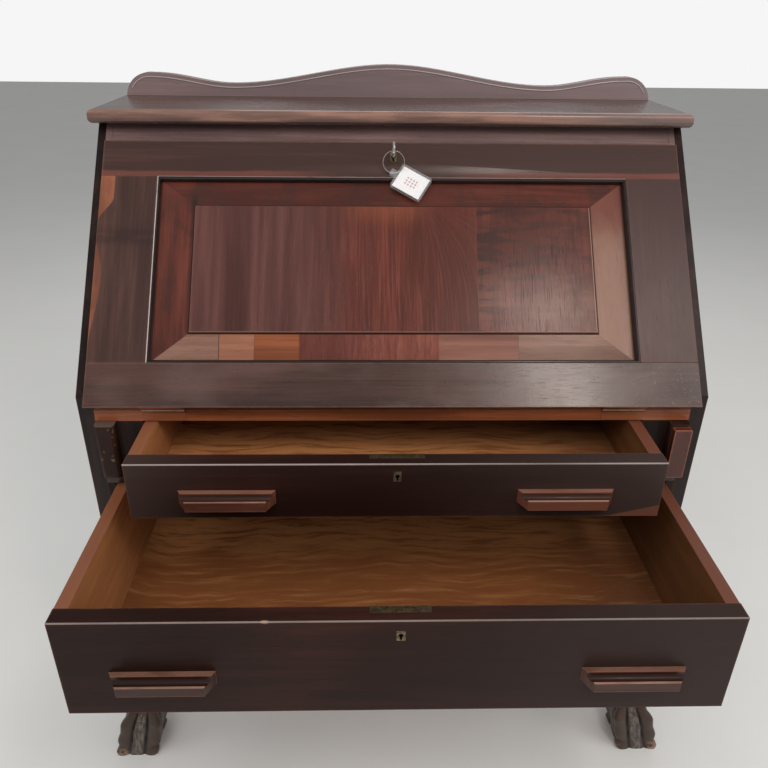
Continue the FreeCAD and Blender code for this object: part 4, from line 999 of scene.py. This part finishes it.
def lock_screws(lock, body, leaning):
    """Two screw heads in the top plate of a lock, with a line across each."""
    low, high = flat_box(lock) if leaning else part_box(lock)
    mesh = bmesh.new()
    for side in (-1, 1):
        spot = Vector((side * (high.x - SCREW_INSET), (low.y + high.y) / 2, high.z))
        bmesh.ops.create_cone(mesh, cap_ends=True, segments=20, radius1=0.0032, radius2=0.0028,
                              depth=0.0006, matrix=Matrix.Translation(spot))
        whole = mesh.verts[:] + mesh.edges[:] + mesh.faces[:]
        bmesh.ops.bisect_plane(mesh, geom=whole, plane_co=spot, plane_no=(1, 0.6, 0))
    if leaning:
        mesh.transform(FALL)
    add_piece(lock + "_screws", mesh, IRON, body)


for body in ("fall", "top_drawer", "lower_drawer"):
    lock_screws(body + "_lock", body, body == "fall")
print("six screws made")

# %% [markdown]
# ## Carved legs
# A cabriole leg is sawn from a thick square, bent out at the knee and in again at the ankle, and its foot
# is carved with four claws. Each level of the leg is an outline: a soft square with a crest at each corner.
# Between the claws the carver cut short flutes that spread from the ankle. The stations of the frame's leg
# are smoothed into many more levels.

# %% Outlines of a leg
FOOT_HEIGHT, FOOT_OUT, FOOT_LEAN, FOOT_HALF, CLAW = 84, 46, 0.25, 37.25, 9
POST_HALF, POST_HEIGHT, KNEE_HALF, KNEE_OUT, ANKLE_HALF, ANKLE_OUT = 27, 46, 32, 13, 16, 14
BLOCK_BEVEL = 3.5
CLAW_GROOVE = 0.4
SQUARENESS = 3.1
LEG_POINTS = 96
LEG_LEVELS = 110
FOOT_STATIONS = ((0.0, 1.0, 0.75, 0.0), (0.08, 1.02, 0.95, 0.0), (0.19, 0.96, 0.4, 0.0),
                 (0.22, 0.98, 0.7, 0.3), (0.36, 1.0, 1.0, 1.0), (0.54, 1.0, 0.55, 1.2),
                 (0.74, 0.93, 1.1, 1.0), (0.9, 0.7, 0.7, 0.5), (1.08, 0.52, 0.3, 0.0))
SHAFT_STATIONS = ((0.2, ANKLE_HALF, ANKLE_OUT), (0.42, 0.4 * (KNEE_HALF + ANKLE_HALF), 0.75 * ANKLE_OUT),
                  (0.68, 0.84 * KNEE_HALF, 0.9 * KNEE_OUT), (0.87, KNEE_HALF, KNEE_OUT),
                  (1.0, 0.92 * POST_HALF, 0.0))


def smooth_between(stations, level):
    """Values between stations, easing through each."""
    for (low, *first), (high, *second) in zip(stations, stations[1:]):
        if level <= high:
            share = max(0.0, min(1.0, (level - low) / (high - low)))
            eased = 0.5 * share + 0.5 * share * share * (3 - 2 * share)
            return [a + (b - a) * eased for a, b in zip(first, second)]
    return stations[-1][1:]


def leg_stations(height):
    """Level, half width, claw, distance outwards and flute depth, from the floor to the block."""
    stations = []
    for rise, wide, claw, flute in FOOT_STATIONS:
        level = rise * FOOT_HEIGHT
        stations.append((level, wide * FOOT_HALF, claw * CLAW, FOOT_OUT - FOOT_LEAN * level, flute))
    shaft_height = height - POST_HEIGHT - FOOT_HEIGHT
    for rise, wide, out in SHAFT_STATIONS:
        stations.append((FOOT_HEIGHT + rise * shaft_height, wide, 0.0, out, 0.0))
    return stations


def leg_radius(turn, half, claw, flute):
    """Distance from the middle of the leg to its skin, in a direction."""
    power = abs(math.cos(turn)) ** SQUARENESS + abs(math.sin(turn)) ** SQUARENESS
    from_corner = turn % (math.pi / 2) - math.pi / 4
    crest = math.exp(-(from_corner / 0.25) ** 2)
    groove = math.exp(-((abs(from_corner) - CLAW_GROOVE) / 0.08) ** 2)
    ripple = 0.5 - 0.5 * math.cos(16 * turn + math.pi)
    flat = 1 - crest
    relief = claw * (crest - 0.25 * flat - 0.38 * groove) - 1.7 * flute * ripple * flat
    return half / power ** (1 / SQUARENESS) + relief


print(len(FOOT_STATIONS) + len(SHAFT_STATIONS), "stations in a leg")

# %% Legs
FLAT_DUST = (0.2, 0.165, 0.14)
CLAW_BROWN = (0.15, 0.1, 0.07)
TALON = (0.4, 0.24, 0.15)


def carved_tone(face, colour, low, high, middle, signs):
    """Black in the carver's grooves, dusty on the flats and worn pale at the talons."""
    out = (FOOT_OUT * MM - face.z * FOOT_LEAN) * math.sqrt(0.5)
    across = (face.x - middle.x - out * signs.x).size()
    along = (face.y - middle.y - out * signs.y).size()
    from_corner = (face.sum("ARCTAN2", along, across) - math.pi / 4).size()
    foot = face.z.fade(0.07, 0.095)
    groove = (from_corner - CLAW_GROOVE).size().fade(0.03, 0.11)
    flat = from_corner.step(CLAW_GROOVE + 0.06, CLAW_GROOVE + 0.16)
    scratch = face.streaks((260, 260, 22), 3.0).step(0.4, 0.65)
    colour = colour.mix(foot * flat * (0.25 + scratch * 0.6), FLAT_DUST)
    colour = colour.mix(foot * (1 - flat) * 0.35, CLAW_BROWN).mix(foot * groove * 0.8, DARK[0])
    inside = (face.x - low.x).least(high.x - face.x) + (face.y - low.y).least(high.y - face.y)
    talon = face.z.fade(0.004, 0.02) * inside.fade(0.018, 0.034)
    ragged = face.noise(130.0, 4.0, 0.65).step(0.4, 0.62)
    return colour.mix(talon * ragged * 0.85, TALON)


def carved_leg(corner):
    """One leg with its square block, turned to its corner of the case."""
    node = "leg_" + corner
    low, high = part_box(node)
    signs = Vector((1 if corner.endswith("right") else -1, 1 if corner.startswith("back") else -1))
    block = [vertex.co for vertex in nodes[node].data.vertices if vertex.co.z > high.z - 0.001]
    middle = sum((Vector((point.x, point.y, 0)) for point in block), Vector()) / len(block)
    stations = leg_stations(high.z / MM)
    mesh = bmesh.new()
    rings = []
    for number in range(LEG_LEVELS + 1):
        level = stations[-1][0] * number / LEG_LEVELS
        half, claw, out, flute = smooth_between(stations, level)
        centre = out * math.sqrt(0.5)
        ring = []
        for step in range(LEG_POINTS):
            turn = 2 * math.pi * step / LEG_POINTS
            radius = leg_radius(turn, half, claw, flute)
            x = middle.x + signs.x * (centre + radius * math.cos(turn)) * MM
            y = middle.y + signs.y * (centre + radius * math.sin(turn)) * MM
            ring.append(mesh.verts.new((x, y, level * MM)))
        rings.append(ring)
    closed_skin(mesh, rings)
    spot = Vector((middle.x, middle.y, high.z - POST_HEIGHT * MM / 2))
    size = Matrix.Diagonal((2 * POST_HALF * MM, 2 * POST_HALF * MM, POST_HEIGHT * MM, 1))
    cube = bmesh.ops.create_cube(mesh, size=1, matrix=Matrix.Translation(spot) @ size)["verts"]
    edges = [edge for edge in mesh.edges if edge.verts[0] in cube]
    bmesh.ops.bevel(mesh, geom=edges, offset=BLOCK_BEVEL * MM, affect="EDGES", segments=3, profile=0.5)
    material = wood(node + "_wood", DARK, Z, gloss=0.42, coat=0.1, extra=carved_tone,
                    details=(low, high, middle, signs))
    leg = add_piece("carved_" + node, mesh, material, "case", 50)
    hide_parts(node)


for corner in ("front_left", "front_right", "back_left", "back_right"):
    carved_leg(corner)
print("four legs carved")

# %% [markdown]
# ## Floor, light and camera
# A pale floor takes the shadow and broad lamps give soft light at a plain level. The two window lamps and
# the back lamp show in the polish, as a sheen on the right of the fall and on the top. The background is
# nearly white for the camera. The camera stands where the photographer stood.

# %% Floor
FLOOR_SIZE = 12.0

mesh = bmesh.new()
bmesh.ops.create_grid(mesh, x_segments=1, y_segments=1, size=FLOOR_SIZE)
floor = bpy.data.meshes.new("floor")
mesh.to_mesh(floor)
mesh.free()
recipe = Recipe("pale_floor")
cloud = recipe.noise(3.0)
recipe.set(base_color=recipe.mix(cloud, (0.78, 0.78, 0.76), (0.85, 0.85, 0.83)), roughness=0.8)
floor.materials.append(recipe.result)
put_in_scene("floor", floor)
print("floor laid")

# %% Light
WHITE = (1, 1, 1)
WARM_DAYLIGHT = (1.0, 0.9, 0.83)
SOFT_LIGHT, BACKGROUND = 0.34, 0.92


def soft_lamp(name, spot, target, size, power, mirrored=False, colour=WHITE):
    """A broad lamp that faces a target; mirrored lets polish reflect it."""
    light = bpy.data.lights.new(name, "AREA")
    light.shape = "RECTANGLE"
    light.size, light.size_y = size
    light.energy = power
    light.color = colour
    lamp = put_in_scene(name, light)
    lamp.location = spot
    lamp.rotation_euler = (Vector(target) - Vector(spot)).to_track_quat("-Z", "Y").to_euler()
    lamp.visible_glossy = mirrored


soft_lamp("ceiling_lamp", (-0.4, -1.7, 3.1), (0, 0, 0.6), (2.8, 2.2), 46)
soft_lamp("window_lamp", (0.9, -1.55, 2.9), (0.2, 0, 0.8), (0.36, 0.8), 10, True, WARM_DAYLIGHT)
soft_lamp("window_glow", (1.85, -1.45, 2.9), (0.2, 0, 0.8), (0.8, 1.0), 6, True, WARM_DAYLIGHT)
soft_lamp("back_lamp", (0.4, 2.6, 2.6), (0, 0, 0.8), (2.4, 1.4), 13, True)
soft_lamp("left_lamp", (-2.6, -0.6, 1.9), (0, 0, 0.6), (1.6, 1.6), 12)
soft_lamp("right_lamp", (2.6, -0.9, 1.9), (0, 0, 0.5), (1.6, 1.6), 20)
world = Recipe("studio", world=True)
seen = world.node("LightPath").most(world.node("LightPath", output="Is Transmission Ray"))
strength = world.node("MapRange", {"Value": seen, "To Min": SOFT_LIGHT, "To Max": BACKGROUND})
world.set(color=(*WHITE, 1), strength=strength)
bpy.context.scene.world = world.result
bpy.context.scene.view_settings.view_transform = "Standard"
print("lamps and world set")

# %% Camera
CAMERA_SPOT = Vector((-0.04251, -0.928234, 1.232855))
CAMERA_PITCH, CAMERA_YAW, CAMERA_ROLL = (math.radians(value) for value in (27.596, 1.6, 0.72))
FOCAL_PIXELS = 733.1
FRAME_PIXELS = 768

data = bpy.data.cameras.new("camera")
data.sensor_width = 36
data.lens = FOCAL_PIXELS / FRAME_PIXELS * data.sensor_width
case_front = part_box("side_left")[0].y
place = Matrix.Translation(CAMERA_SPOT + Vector((0, case_front, 0)))
turned = place @ Matrix.Rotation(-CAMERA_YAW, 4, "Z")
tipped = turned @ Matrix.Rotation(math.pi / 2 - CAMERA_PITCH, 4, "X")
camera = put_in_scene("camera", data)
camera.matrix_world = tipped @ Matrix.Rotation(CAMERA_ROLL, 4, "Z")
bpy.context.scene.camera = camera
print("camera", round(CAMERA_SPOT.z, 2), "m up")
